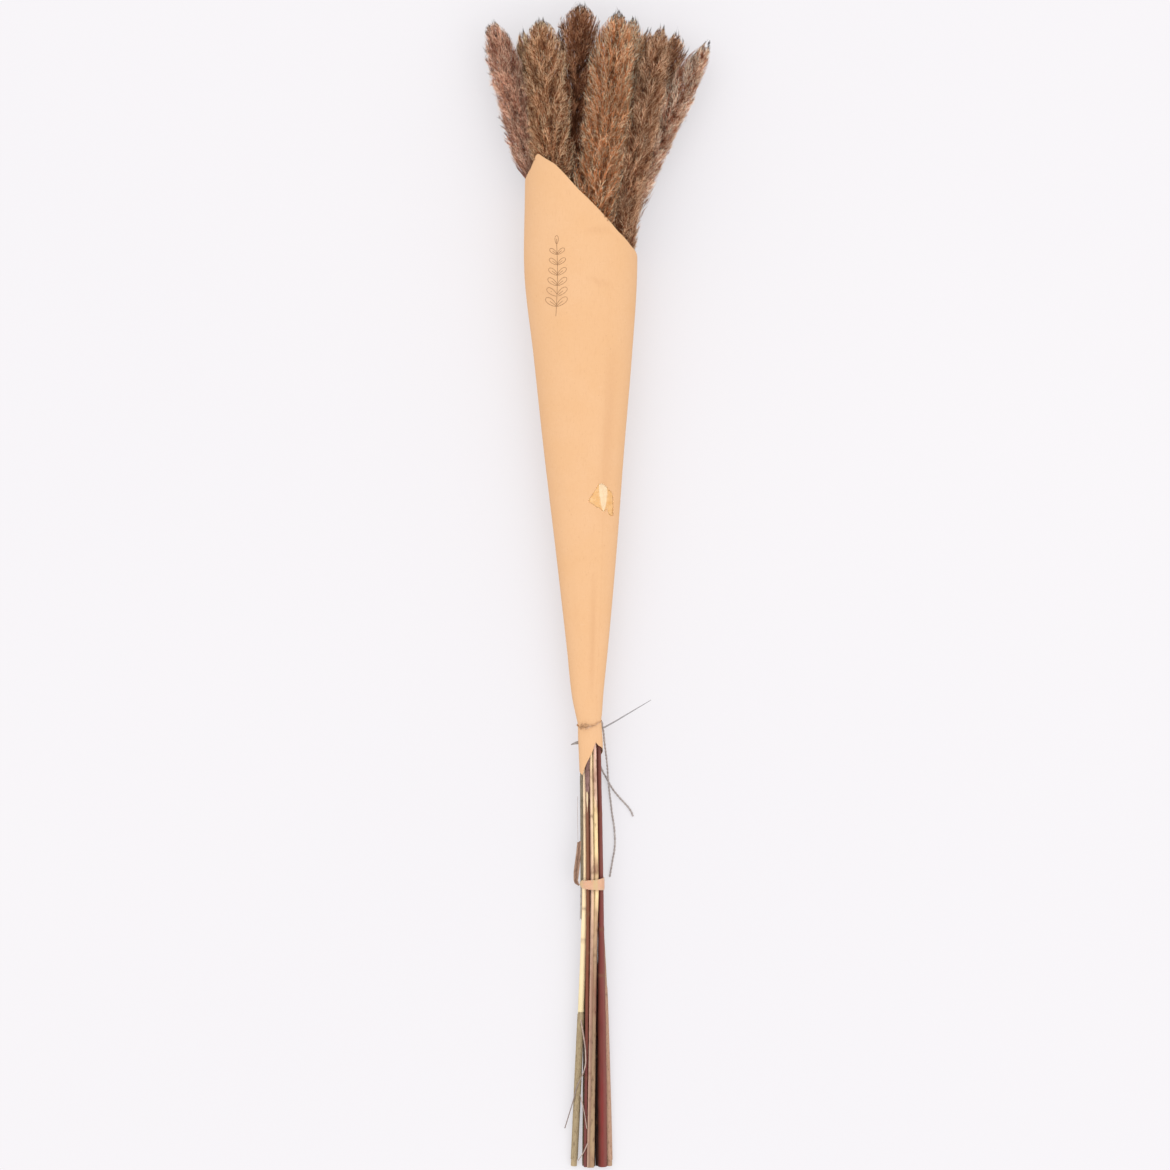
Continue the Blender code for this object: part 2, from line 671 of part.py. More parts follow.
def main():
    for old in list(bpy.data.objects):
        bpy.data.objects.remove(old)
    needle = needle_mesh()
    for number, reed in enumerate(REEDS):
        stem = build_stem(reed)
        if reed is REEDS[0]:
            add_shred(stem)
        build_plume(reed, needle, SEED + number)
    bpy.data.meshes.remove(needle)
    build_sleeve()
    build_tape()
    build_tie()
    build_twine_end("twine_end_long", -12.0, LONG_END_ROUTE)
    build_twine_end("twine_end_short", -80.0, SHORT_END_ROUTE)
    build_rubber_band()
    build_loose_leaf()
    build_rod("dry_blade", BLADE_ROUTE, (0.85, 0.4), (0.36, 0.33, 0.31))
    build_rod("leaf_stub", STUB_ROUTE, (0.9, 1.1), (0.22, 0.17, 0.14))


main()
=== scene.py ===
"""Looks of a bundle of dried pampas grass that lies flat on a pale surface.

Ten long reeds run up through a rolled kraft paper sleeve, tied with jute twine and
closed with a piece of clear tape, and fan out in feathery plumes. A flat rubber band
holds the bare stems. Lengths are millimetres up to the point where a mesh is made.
"""

import logging
import math
from dataclasses import dataclass
from enum import Enum
from functools import cache
from typing import Callable, Iterable, Sequence

import bmesh
import bpy
import numpy as np
from mathutils import Matrix, Vector


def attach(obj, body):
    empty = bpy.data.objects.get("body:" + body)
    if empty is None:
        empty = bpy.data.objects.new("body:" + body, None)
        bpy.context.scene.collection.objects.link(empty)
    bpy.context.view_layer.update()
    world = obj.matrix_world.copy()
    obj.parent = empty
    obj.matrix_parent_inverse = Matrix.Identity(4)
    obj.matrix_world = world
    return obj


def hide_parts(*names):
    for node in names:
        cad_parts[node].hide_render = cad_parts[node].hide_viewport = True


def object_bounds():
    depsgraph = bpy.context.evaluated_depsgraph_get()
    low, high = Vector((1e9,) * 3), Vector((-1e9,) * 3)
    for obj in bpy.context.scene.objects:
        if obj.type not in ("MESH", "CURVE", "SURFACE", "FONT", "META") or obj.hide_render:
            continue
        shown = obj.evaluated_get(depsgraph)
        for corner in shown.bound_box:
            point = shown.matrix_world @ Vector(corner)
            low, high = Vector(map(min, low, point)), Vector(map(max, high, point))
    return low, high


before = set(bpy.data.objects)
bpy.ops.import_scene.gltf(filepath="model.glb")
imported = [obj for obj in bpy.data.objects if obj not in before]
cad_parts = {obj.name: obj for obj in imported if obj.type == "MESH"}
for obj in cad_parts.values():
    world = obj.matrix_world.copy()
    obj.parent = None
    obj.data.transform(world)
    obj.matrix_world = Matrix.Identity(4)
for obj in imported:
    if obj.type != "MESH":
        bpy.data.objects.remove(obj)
CAD_LOW, CAD_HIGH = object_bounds()

LOG = logging.getLogger("pampas")
MM = 0.001
Array = np.ndarray
Piece = bpy.types.Object
Socket = bpy.types.NodeSocket
Colour = tuple[float, float, float]

# Where the bundle changes along its length (Y), as in the solids
FOOT_Y, SPREAD_Y, BAND_Y, TIE_Y, JOIN_Y, MOUTH_Y = -494.5, -269.0, -253.0, -116.5, 205.0, 316.0
AXIS_END_HEIGHT, AXIS_SLOPE, AXIS_MOUTH_HEIGHT = 7.7, 0.0304, 31.5
GAP = 0.3

# Spacing and thickness of the stems
NECK_PITCH, BAND_PITCH = 4.25, 4.75
ROW_RATIO = math.sqrt(3.0) / 2.0
NECK_RADIUS, BAND_RADIUS = 1.9, 2.15
PATH_SMOOTHING = 12.0

# Edges that turn more than this stay sharp
CORNER = math.radians(60.0)

# The bundle's outline: Y, centre X, half width, half height
SECTIONS = (
    (-300.0, -5.2, 10.9, 8.3), (-253.0, -5.5, 10.8, 8.2), (-160.0, -6.6, 10.6, 8.1),
    (-130.0, -7.0, 10.6, 8.1), (-116.5, -7.6, 10.4, 7.9), (-95.0, -9.0, 13.2, 10.4),
    (-50.0, -9.3, 17.9, 14.0), (30.0, -10.3, 26.0, 19.6), (115.0, -12.2, 34.2, 24.6),
    (200.0, -13.3, 42.3, 28.9), (265.0, -14.9, 48.0, 31.8), (330.0, -15.0, 47.6, 33.2),
    (370.0, -15.0, 47.0, 33.6),
)

# The wound sheet: angles in degrees, its slanted mouth and its lower edge
PAPER, PAPER_STEP, SLEEVE_WALL = 0.7, 1.05, 1.6
OVERLAP_START, SWEEP = 107.0, 405.0
MOUTH_EDGE = (
    (0.0, 279.5), (14.0, 284.0), (28.0, 287.8), (50.7, 299.6), (69.2, 314.1), (88.7, 330.0), (103.4, 344.4),
    (115.8, 354.8), (130.5, 361.2), (141.5, 366.0), (145.5, 359.5), (153.0, 352.8), (166.0, 347.5),
    (180.0, 344.4), (225.0, 330.0), (270.0, 308.0), (315.0, 288.0), (360.0, 279.5),
)
LOWER_EDGE = (
    (0.0, -128.0), (36.0, -130.0), (53.5, -133.2), (100.0, -136.5), (107.0, -138.0), (197.0, -147.0),
    (287.0, -155.0), (337.0, -158.3), (373.0, -144.0), (388.0, -134.5), (SWEEP, -128.0),
)

# The twine: how far up the neck it lies at an angle, its knot (angle, Y shift, lift) and its loose ends
TWINE_RADIUS, TWINE_TILT, CORD_SPACING = 0.85, 1.2, 4.6
TWINE_SAG = (
    (0.0, 3.0), (40.0, 1.9), (80.0, -0.3), (100.0, -0.9), (130.0, -0.4), (180.0, 1.7), (270.0, 2.5),
    (360.0, 3.0),
)
KNOT_STRANDS = (
    ((136.0, -0.9, 0.0), (127.0, -2.4, 0.3), (120.0, -1.2, 0.7), (112.0, 0.9, 0.8), (104.0, 1.6, 0.9),
     (95.0, 0.9, 0.6), (88.0, -0.5, 0.1)),
    ((131.0, 1.0, 0.1), (119.0, 1.5, 0.5), (110.0, 0.1, 1.0), (103.0, -2.1, 0.9), (97.0, -2.6, 0.7),
     (91.0, -1.2, 0.4), (84.0, 0.3, 0.1)),
    ((112.0, -1.4, 1.0), (106.0, -0.2, 1.6), (101.0, 0.3, 1.2)),
)
LONG_END_ROUTE = (
    (4.3, -123.5, 15.8), (5.0, -131.0, 13.2), (6.1, -140.0, 9.8), (7.3, -150.0, 6.6), (8.1, -162.0, 3.7),
    (9.6, -176.5, 1.3), (11.5, -192.0, 0.95), (13.8, -209.0, 0.95), (14.0, -221.0, 0.95),
    (11.9, -234.0, 0.95), (9.6, -247.4, 0.95),
)
SHORT_END_ROUTE = (
    (-4.6, -124.0, 9.4), (-3.3, -133.5, 8.0), (-0.8, -144.0, 6.0), (3.0, -155.5, 3.2), (7.2, -163.4, 1.0),
    (11.4, -170.8, 0.95), (17.3, -178.6, 0.95), (23.0, -184.8, 0.95), (27.0, -189.6, 0.95),
    (29.6, -195.4, 0.95),
)


def blend(a: float, b: float, share: float) -> float:
    """The value that lies `share` of the way from a to b."""
    return a + (b - a) * share


def held(value: float) -> float:
    """The value, kept from 0 to 1."""
    return min(max(value, 0.0), 1.0)


def unit(rows: Array, least: float = 1e-6) -> Array:
    """Directions brought to length 1, or divided by the least length where they are shorter."""
    return rows / np.maximum(np.linalg.norm(rows, axis=-1, keepdims=True), least)


def read(x: Array, rows: Sequence[Sequence[float]], *columns: int) -> list[Array]:
    """Values of a table's columns at x, with straight lines between rows whose first column rises."""
    return [np.interp(x, [row[0] for row in rows], [row[k] for row in rows]) for k in columns]


def smooth_value(xs: Sequence[float], rows: Sequence[Sequence[float]], x: float) -> Array:
    """Read a smooth curve through points.

    Args:
        xs: Places of the points, rising.
        rows: Their values.
        x: Where the curve is read.

    Returns:
        The curve's values at x.
    """
    xs, rows = np.asarray(xs, float), np.asarray(rows, float)
    slopes = np.gradient(rows, xs, axis=0)
    at = int(np.clip(np.searchsorted(xs, x) - 1, 0, len(xs) - 2))
    width = xs[at + 1] - xs[at]
    t = (x - xs[at]) / width
    between = (2 * t**3 - 3 * t**2 + 1) * rows[at] + (3 * t**2 - 2 * t**3) * rows[at + 1]
    return between + width * ((t**3 - 2 * t**2 + t) * slopes[at] + (t**3 - t**2) * slopes[at + 1])


def smooth_route(points: Iterable[Sequence[float]], spacing: float) -> list[Vector]:
    """Lay even points on a smooth curve through a route.

    Args:
        points: The route's own points.
        spacing: Rough distance between the new points.

    Returns:
        The new points, from the route's first to its last.
    """
    given = [Vector(p) for p in points]
    reach = [0.0]
    for a, b in zip(given, given[1:]):
        reach.append(reach[-1] + (b - a).length)
    count = max(int(round(reach[-1] / spacing)), 2)
    return [Vector(smooth_value(reach, given, reach[-1] * i / count)) for i in range(count + 1)]


def mouth_edge(angle: Array) -> Array:
    """Y of the sleeve's slanted mouth at angles round it, its corners a little rounded."""
    return sum(read(np.mod(angle + turn, 360.0), MOUTH_EDGE, 1)[0] for turn in (-3.0, -1.0, 1.0, 3.0)) / 4


def twine_sag(angle: Array) -> Array:
    """How far up the neck the twine lies at an angle: it rises to the right of the knot."""
    return read(np.mod(angle, 360.0), TWINE_SAG, 1)[0]


class Nodes:
    """Adds and joins shader nodes in one node tree."""

    def __init__(self, tree: bpy.types.NodeTree) -> None:
        """Work in the given tree."""
        self.tree = tree

    def feed(self, socket: Socket, value: object) -> None:
        """Give an input socket a link or a fixed value."""
        if isinstance(value, Socket):
            self.tree.links.new(value, socket)
        else:
            socket.default_value = (*value, 1.0) if socket.type == "RGBA" else value

    def add(self, kind: str, inputs: dict | None = None, **settings: object) -> bpy.types.Node:
        """Add a node.

        Args:
            kind: Its type's name, after ShaderNode.
            inputs: Links or fixed values for its inputs.
            settings: Its properties.

        Returns:
            The new node.
        """
        node = self.tree.nodes.new("ShaderNode" + kind)
        for key, value in settings.items():
            setattr(node, key, value)
        for key, value in (inputs or {}).items():
            self.feed(node.inputs[key], value)
        return node

    def noise(self, size: object, detail: float = 3.0, stretch: Colour = (1.0, 1.0, 1.0)) -> Socket:
        """Noise on Object coordinates.

        Args:
            size: Its scale, a number or a socket.
            detail: Number of finer layers.
            stretch: Factors on X, Y and Z, low where the pattern runs long.

        Returns:
            Its value.
        """
        source = self.add("TexCoord").outputs["Object"]
        place = self.add("Mapping", {"Vector": source, "Scale": stretch}).outputs["Vector"]
        return self.add("TexNoise", {"Vector": place, "Scale": size, "Detail": detail}).outputs["Fac"]

    def span(self, value: Socket, low: float, high: float, start: float = 0.0, end: float = 1.0) -> Socket:
        """Stretch and clamp a value, so that low becomes start and high becomes end."""
        ends = {"From Min": low, "From Max": high, "To Min": start, "To Max": end}
        return self.add("MapRange", {"Value": value, **ends}).outputs["Result"]

    def maths(self, operation: str, a: object, b: object) -> Socket:
        """Combine two values with a Math node."""
        return self.add("Math", {0: a, 1: b}, operation=operation).outputs["Value"]

    def mix(self, factor: object, a: object, b: object, how: str = "MIX") -> Socket:
        """Mix two colours, the factor being the second one's share."""
        inputs = {"Factor": factor, 6: a, 7: b}
        return self.add("Mix", inputs, data_type="RGBA", blend_type=how).outputs[2]

    def tint(self, colour: Socket, mask: Socket, share: float, paint: Colour) -> Socket:
        """Lay a share of a paint over a colour where the mask is 1."""
        return self.mix(self.maths("MULTIPLY", mask, share), colour, paint)

    def fleck(self, colour: Socket, density: float, spread: float, share: float, paint: Colour) -> Socket:
        """Spot a colour with small uneven flecks of a paint."""
        spots = self.group(EffectGroup.FLECKS, Density=density, Spread=spread).outputs["Spots"]
        return self.tint(colour, spots, share, paint)

    def ramp(self, factor: Socket, stops: Sequence[tuple[float, Colour]]) -> Socket:
        """Colour ramp.

        Args:
            factor: Where it is read.
            stops: Places and colours, rising.

        Returns:
            The colour.
        """
        node = self.add("ValToRGB", {"Fac": factor})
        elements = node.color_ramp.elements
        while len(elements) < len(stops):
            elements.new(0.5)
        for element, (place, colour) in zip(elements, stops):
            element.position, element.color = place, (*colour, 1.0)
        return node.outputs["Color"]

    def attribute(self, name: str) -> Socket:
        """The value of one of the mesh's own attributes."""
        return self.add("Attribute", attribute_name=name).outputs["Fac"]

    def bump(self, height: Socket, strength: float, distance: float) -> Socket:
        """The normal bent by a relief of 0 to 1, its distance in metres."""
        inputs = {"Strength": strength, "Distance": distance, "Height": height}
        return self.add("Bump", inputs).outputs["Normal"]

    def group(self, effect: "EffectGroup", **values: object) -> bpy.types.Node:
        """Place a shared effect with its own values."""
        return self.add("Group", values, node_tree=effect.tree())

    def shade(self, colour: Socket, rough: Socket, **more: object) -> None:
        """Join the material's own shader.

        Args:
            colour: Its colour.
            rough: Its roughness.
            more: Its other inputs, with _ for a space.
        """
        shader = self.tree.nodes["Principled BSDF"]
        for name, value in {"Base Color": colour, "Roughness": rough, **more}.items():
            self.feed(shader.inputs[name.replace("_", " ")], value)


def new_group(name: str, inputs: dict[str, str], outputs: dict[str, str]) -> tuple:
    """Start a shader node group.

    Args:
        name: Its name.
        inputs: Kinds of its inputs by name.
        outputs: Kinds of its outputs by name.

    Returns:
        Its Nodes helper, what its inputs give and what its outputs take.
    """
    tree = bpy.data.node_groups.new(name, "ShaderNodeTree")
    for direction, sockets in (("INPUT", inputs), ("OUTPUT", outputs)):
        for label, kind in sockets.items():
            tree.interface.new_socket(name=label, in_out=direction, socket_type="NodeSocket" + kind)
    given, result = (tree.nodes.new("NodeGroup" + end) for end in ("Input", "Output"))
    return Nodes(tree), given.outputs, result.inputs


def streaks_group(name: str) -> None:
    """Make the fine lengthwise streaks of a dry stem or leaf that runs along Y."""
    nodes, given, result = new_group(name, {"Fineness": "Float"}, {"Streak": "Float", "Cloud": "Float"})
    fine = nodes.noise(given["Fineness"], 4.0, (1.0, 0.035, 1.0))
    nodes.feed(result["Streak"], nodes.span(fine, 0.32, 0.68))
    nodes.feed(result["Cloud"], nodes.span(nodes.noise(260.0, 3.0, (1.0, 0.16, 1.0)), 0.35, 0.65))


def flecks_group(name: str) -> None:
    """Make small uneven spots."""
    nodes, given, result = new_group(name, {"Density": "Float", "Spread": "Float"}, {"Spots": "Float"})
    value = nodes.noise(given["Density"], 2.0, (1.0, 0.45, 1.0))
    nodes.feed(result["Spots"], nodes.span(value, given["Spread"], 0.78))


def strand_group(name: str) -> None:
    """Make the colour of a plume's strands, from their tone and their own drift."""
    colours = dict.fromkeys(("Awn", "Deep", "Body", "Silk", "Glow"), "Color")
    takes = {"Tone": "Float", "Drift": "Float", **colours}
    nodes, given, result = new_group(name, takes, {"Colour": "Color"})
    colour = given["Awn"]
    steps = (("Deep", 0.05, 0.15), ("Body", 0.2, 0.5), ("Silk", 0.5, 0.8), ("Glow", 0.8, 1.0))
    for label, low, high in steps:
        colour = nodes.mix(nodes.span(given["Tone"], low, high), colour, given[label])
    patch = nodes.span(nodes.noise(95.0, 2.0, (1.0, 0.6, 1.0)), 0.32, 0.68, -0.2, 0.16)
    # Drift gives a random tone from tuft to tuft; the lighter tufts also reach furthest out, painting light
    # on the head's edge
    shade = nodes.maths("ADD", nodes.span(given["Drift"], 0.0, 1.0, 0.64, 1.2), patch)
    grey = nodes.add("CombineColor", dict.fromkeys(("Red", "Green", "Blue"), shade))
    nodes.feed(result["Colour"], nodes.mix(1.0, colour, grey.outputs["Color"], "MULTIPLY"))


class EffectGroup(Enum):
    """The effects that more than one material uses: the group's name and what makes it."""

    STREAKS = ("dry_streaks", streaks_group)
    FLECKS = ("dark_flecks", flecks_group)
    STRAND = ("strand_colour", strand_group)

    def tree(self) -> bpy.types.NodeTree:
        """The group's node tree, made at its first use."""
        name, make = self.value
        if name not in bpy.data.node_groups:
            make(name)
        return bpy.data.node_groups[name]


@dataclass(frozen=True)
class Finish:
    """A surface finish, whose material is made at its first use."""

    name: str

    @cache
    def material(self) -> bpy.types.Material:
        """The finish as a material, also where the frame has one of its name."""
        made = bpy.data.materials.new(self.name)
        made.use_nodes = True
        self.paint(Nodes(made.node_tree))
        return made

    def paint(self, nodes: Nodes) -> None:
        """Add the finish's own nodes."""
        raise NotImplementedError


@dataclass(frozen=True)
class PlumeFinish(Finish):
    """Colours of one plume, from the dark awns to the silk at its edge."""

    awn: Colour
    deep: Colour
    body: Colour
    silk: Colour
    # glow: the palest silk at the fringe, with painted light shining through it
    glow: Colour

    def paint(self, nodes: Nodes) -> None:
        """Colour the strands by their tone and drift."""
        group = nodes.group(
            EffectGroup.STRAND, Tone=nodes.attribute("tone"), Drift=nodes.attribute("drift"),
            Awn=self.awn, Deep=self.deep, Body=self.body, Silk=self.silk, Glow=self.glow)
        rough = nodes.noise(900.0, 2.0)
        nodes.shade(group.outputs["Colour"], nodes.span(rough, 0.3, 0.7, 0.6, 0.85),
                    Normal=nodes.bump(rough, 0.2, 0.0001), Specular_IOR_Level=0.08)


@dataclass(frozen=True)
class StemFinish(Finish):
    """A dry stem: its colours down its length (Y), how streaked and spotted it is, and painted shade and
    highlight on its sides.
    """

    stops: tuple[tuple[float, Colour], ...]
    streak: Colour
    streak_share: float
    spots: float
    # Painted shade and highlight laid on the stem's left and right sides
    left: Colour | None = None
    right: Colour | None = None

    def paint(self, nodes: Nodes) -> None:
        """Colour the stem by its length, its streaks and its spots, with painted shade and highlight on its
        sides.
        """
        low, high = FOOT_Y * MM, -0.1
        place = nodes.add("SeparateXYZ", {"Vector": nodes.add("TexCoord").outputs["Object"]}).outputs["Y"]
        wander = nodes.span(nodes.noise(300.0, 2.0, (1.0, 0.3, 1.0)), 0.2, 0.8, -0.012, 0.012)
        share = nodes.span(nodes.maths("ADD", place, wander), low, high)
        colour = nodes.ramp(share, [((y * MM - low) / (high - low), paint) for y, paint in self.stops])
        streaks = nodes.group(EffectGroup.STREAKS, Fineness=2600.0).outputs
        colour = nodes.tint(colour, streaks["Streak"], self.streak_share, self.streak)
        # Painted side light: side runs from the stem's left (0) to its right (1)
        side = nodes.attribute("side")
        for paint, near, far in ((self.left, 0.45, 0.15), (self.right, 0.55, 0.8)):
            if paint:
                colour = nodes.mix(nodes.span(side, near, far, 0.0, 0.9), colour, paint)
        colour = nodes.fleck(colour, 330.0, 0.54, self.spots, (0.07, 0.035, 0.02))
        colour = nodes.fleck(colour, 90.0, 0.46, self.spots, (0.20, 0.075, 0.055))
        share = nodes.span(streaks["Cloud"], 0.0, 1.0, 0.0, self.streak_share)
        colour = nodes.mix(share, colour, self.streak)
        colour = nodes.tint(colour, nodes.attribute("ring"), 0.6, (0.16, 0.08, 0.04))
        nodes.shade(colour, nodes.span(streaks["Cloud"], 0.0, 1.0, 0.4, 0.65),
                    Normal=nodes.bump(streaks["Streak"], 0.5, 0.00015), Specular_IOR_Level=0.15)


@dataclass(frozen=True)
class DryLeafFinish(Finish):
    """A dry leaf, sheath or shred with lengthwise veins."""

    colour: Colour
    vein: Colour

    def paint(self, nodes: Nodes) -> None:
        """Colour the leaf by its veins, its crease and its spots."""
        streaks = nodes.group(EffectGroup.STREAKS, Fineness=3400.0).outputs
        colour = nodes.mix(streaks["Streak"], self.colour, self.vein)
        colour = nodes.tint(colour, nodes.attribute("crease"), 0.8, self.vein)
        colour = nodes.fleck(colour, 700.0, 0.55, 0.6, (0.06, 0.035, 0.02))
        nodes.shade(colour, nodes.span(streaks["Cloud"], 0.0, 1.0, 0.65, 0.85),
                    Normal=nodes.bump(streaks["Streak"], 0.6, 0.0002), Specular_IOR_Level=0.15)


@dataclass(frozen=True)
class KraftFinish(Finish):
    """Smooth golden-brown kraft paper with fine fibres."""

    name: str = "kraft_paper"
    colour: Colour = (0.625, 0.365, 0.182)
    fibre: Colour = (0.56, 0.31, 0.15)
    pale: Colour = (0.66, 0.42, 0.25)
    fleck: Colour = (0.40, 0.20, 0.09)
    # fold: painted shade in the dents of the paper's upper side
    fold: Colour = (0.50, 0.26, 0.12)

    def paint(self, nodes: Nodes) -> None:
        """Colour the paper by its clouds and its fibres, with painted shade in its dents."""
        along = nodes.noise(1500.0, 4.0, (1.0, 0.12, 1.0))
        across = nodes.noise(1300.0, 4.0, (0.15, 1.0, 0.15))
        cloud = nodes.noise(28.0)
        colour = nodes.mix(nodes.span(cloud, 0.3, 0.7, 0.0, 0.35), self.colour, self.pale)
        colour = nodes.mix(nodes.span(along, 0.52, 0.72, 0.0, 0.35), colour, self.fibre)
        colour = nodes.mix(nodes.span(across, 0.55, 0.75, 0.0, 0.3), colour, self.pale)
        colour = nodes.fleck(colour, 900.0, 0.66, 0.3, self.fleck)
        # Painted shade in the dents, held by the crease attribute
        colour = nodes.tint(colour, nodes.attribute("crease"), 0.3, self.fold)
        nodes.shade(colour, nodes.span(cloud, 0.3, 0.7, 0.68, 0.82), Specular_IOR_Level=0.3,
                    Normal=nodes.bump(nodes.maths("ADD", along, across), 0.15, 0.00006))


@dataclass(frozen=True)
class InkFinish(Finish):
    """Thin brown printing ink that has soaked into the paper."""

    name: str = "brown_ink"
    colour: Colour = (0.24, 0.12, 0.05)
    worn: Colour = (0.40, 0.22, 0.10)

    def paint(self, nodes: Nodes) -> None:
        """Colour the ink by its wear."""
        wear = nodes.noise(1800.0)
        colour = nodes.mix(nodes.span(wear, 0.45, 0.7), self.colour, self.worn)
        nodes.shade(colour, nodes.span(wear, 0.3, 0.7, 0.6, 0.85))


@dataclass(frozen=True)
class TapeFinish(Finish):
    """Clear tape with a yellow tinge, glossy, and cloudy where it is creased."""

    name: str = "clear_tape"
    colour: Colour = (0.68, 0.365, 0.12)
    cloudy: Colour = (0.74, 0.54, 0.32)

    def paint(self, nodes: Nodes) -> None:
        """Colour the tape by its grain and crease, and let it fade out at its edge."""
        grain = nodes.noise(260.0, 4.0)
        colour = nodes.mix(nodes.span(grain, 0.4, 0.75, 0.0, 0.25), self.colour, self.cloudy)
        clear = nodes.maths("MULTIPLY", nodes.span(grain, 0.3, 0.75, 0.8, 0.95), nodes.attribute("fade"))
        nodes.shade(nodes.mix(nodes.attribute("crease"), colour, self.cloudy),
                    nodes.span(grain, 0.3, 0.7, 0.15, 0.35), Alpha=clear,
                    Normal=nodes.bump(grain, 0.2, 0.0002), Coat_Weight=0.15, Coat_Roughness=0.1)


@dataclass(frozen=True)
class JuteFinish(Finish):
    """Twisted brown jute."""

    colour: Colour
    shade: Colour
    pale: Colour

    def paint(self, nodes: Nodes) -> None:
        """Colour the jute by its fibres."""
        fibre, cloud = nodes.noise(2400.0), nodes.noise(160.0, 2.0)
        colour = nodes.mix(nodes.span(fibre, 0.4, 0.62), self.shade, self.colour)
        colour = nodes.mix(nodes.span(cloud, 0.5, 0.75, 0.0, 0.7), colour, self.pale)
        nodes.shade(colour, nodes.span(fibre, 0.3, 0.7, 0.75, 0.95),
                    Normal=nodes.bump(fibre, 0.6, 0.0002), Specular_IOR_Level=0.15)


@dataclass(frozen=True)
class RubberFinish(Finish):
    """Pale beige natural rubber with a dusty bloom."""

    name: str = "beige_rubber"
    colour: Colour = (0.53, 0.295, 0.175)
    bloom: Colour = (0.57, 0.33, 0.205)
    stain: Colour = (0.52, 0.36, 0.185)
    grime: Colour = (0.46, 0.29, 0.15)

    def paint(self, nodes: Nodes) -> None:
        """Colour the rubber by its bloom, its stains and its grime."""
        cloud, grain = nodes.noise(240.0), nodes.noise(1500.0, 3.0, (1.0, 0.2, 1.0))
        colour = nodes.mix(nodes.span(cloud, 0.35, 0.65), self.colour, self.bloom)
        colour = nodes.tint(colour, nodes.attribute("stain"), 0.9, self.stain)
        colour = nodes.mix(nodes.span(grain, 0.55, 0.8, 0.0, 0.35), colour, self.grime)
        nodes.shade(colour, nodes.span(cloud, 0.3, 0.7, 0.42, 0.6), Normal=nodes.bump(grain, 0.3, 0.0002),
                    Subsurface_Weight=0.1, Subsurface_Scale=0.002)


@dataclass(frozen=True)
class SurfaceFinish(Finish):
    """The pale surface that the bundle lies on, with a little light of its own."""

    name: str = "pale_surface"

    def paint(self, nodes: Nodes) -> None:
        """Colour the surface by a faint cloud."""
        cloud = nodes.span(nodes.noise(1.2, 2.0), 0.3, 0.7)
        nodes.shade(nodes.mix(cloud, (0.335, 0.328, 0.335), (0.329, 0.322, 0.331)), 0.9,
                    Emission_Color=nodes.mix(cloud, (0.452, 0.443, 0.452), (0.446, 0.437, 0.448)),
                    Emission_Strength=1.0, Specular_IOR_Level=0.0)


class PlumeTint(Enum):
    """The plumes' colour families."""

    MAUVE = PlumeFinish("plume_mauve", (0.05, 0.035, 0.03), (0.348, 0.116, 0.0725), (0.731, 0.353, 0.22),
                        (0.938, 0.554, 0.373), (0.988, 0.728, 0.541))
    PEACH = PlumeFinish("plume_peach", (0.05, 0.035, 0.03), (0.377, 0.131, 0.0725), (0.857, 0.441, 0.258),
                        (1.0, 0.678, 0.452), (1.0, 0.822, 0.624))
    SAND = PlumeFinish("plume_sand", (0.05, 0.03, 0.02), (0.56, 0.193, 0.07), (1.0, 0.552, 0.288),
                       (1.0, 0.773, 0.482), (1.0, 0.894, 0.655))
    GOLD = PlumeFinish("plume_gold", (0.05, 0.03, 0.02), (0.595, 0.228, 0.0875), (1.0, 0.648, 0.372),
                       (1.0, 0.874, 0.605), (1.0, 0.936, 0.749))
    TAN = PlumeFinish("plume_tan", (0.05, 0.03, 0.02), (0.261, 0.087, 0.0362), (0.655, 0.302, 0.139),
                      (0.927, 0.542, 0.294), (1.0, 0.77, 0.499))
    BROWN = PlumeFinish("plume_brown", (0.04, 0.025, 0.02), (0.232, 0.0798, 0.0362), (0.567, 0.258, 0.123),
                        (0.825, 0.475, 0.271), (0.988, 0.697, 0.458))
    UMBER = PlumeFinish("plume_umber", (0.03, 0.02, 0.015), (0.16, 0.0522, 0.0232), (0.441, 0.176, 0.0794),
                        (0.678, 0.333, 0.172), (0.853, 0.52, 0.312))
    DARK = PlumeFinish("plume_dark", (0.03, 0.02, 0.015), (0.145, 0.0522, 0.0232), (0.378, 0.164, 0.0756),
                       (0.61, 0.322, 0.164), (0.832, 0.52, 0.312))


# Share of the girth that a head reaches at TAPER_PLACES below its top
TAPER_PLACES = (-4.0, 0.0, 6.0, 16.0, 32.0, 55.0, 100.0)
POINTED = (0.10, 0.20, 0.48, 0.74, 0.92, 1.0, 1.05)
BLUNT = (0.12, 0.30, 0.62, 0.86, 0.96, 1.0, 1.05)
BROAD = (0.12, 0.30, 0.62, 0.88, 1.0, 1.0, 1.0)
SLIM = (0.10, 0.15, 0.38, 0.58, 0.70, 0.76, 0.78)
KHAKI = (0.29, 0.22, 0.125)
PEACH = (0.76, 0.57, 0.37)
YELLOW_CREAM = (0.90, 0.67, 0.36)


@dataclass(frozen=True)
class Reed:
    """One reed, from its cut end to the tip of its plume.

    Attributes:
        name: Its number.
        column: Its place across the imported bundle, in steps.
        row: Its place up it.
        mouth: X and Z of its axis at the sleeve's mouth.
        tip: Its tip.
        fan: How late its head turns outwards.
        foot: X and Z of its cut end.
        spread: How late its stem turns towards that end.
        foot_radius: Its radius there.
        tint: The head's colours.
        taper: The head's shape towards its top.
        girth: The head's radius.
        ease: Shift in X and growth in radius where the stem is bare.
        ring: Y of its plainest node ring.
        stem: The stem's finish.
        bulge: How much further the head reaches to the left and right.
    """

    name: str
    column: float
    row: int
    mouth: tuple[float, float]
    tip: tuple[float, float, float]
    fan: float
    foot: tuple[float, float]
    spread: float
    foot_radius: float
    tint: PlumeTint
    taper: tuple[float, ...]
    girth: float
    ease: tuple[float, float]
    ring: float
    stem: StemFinish
    bulge: tuple[float, float] = (0.0, 0.0)


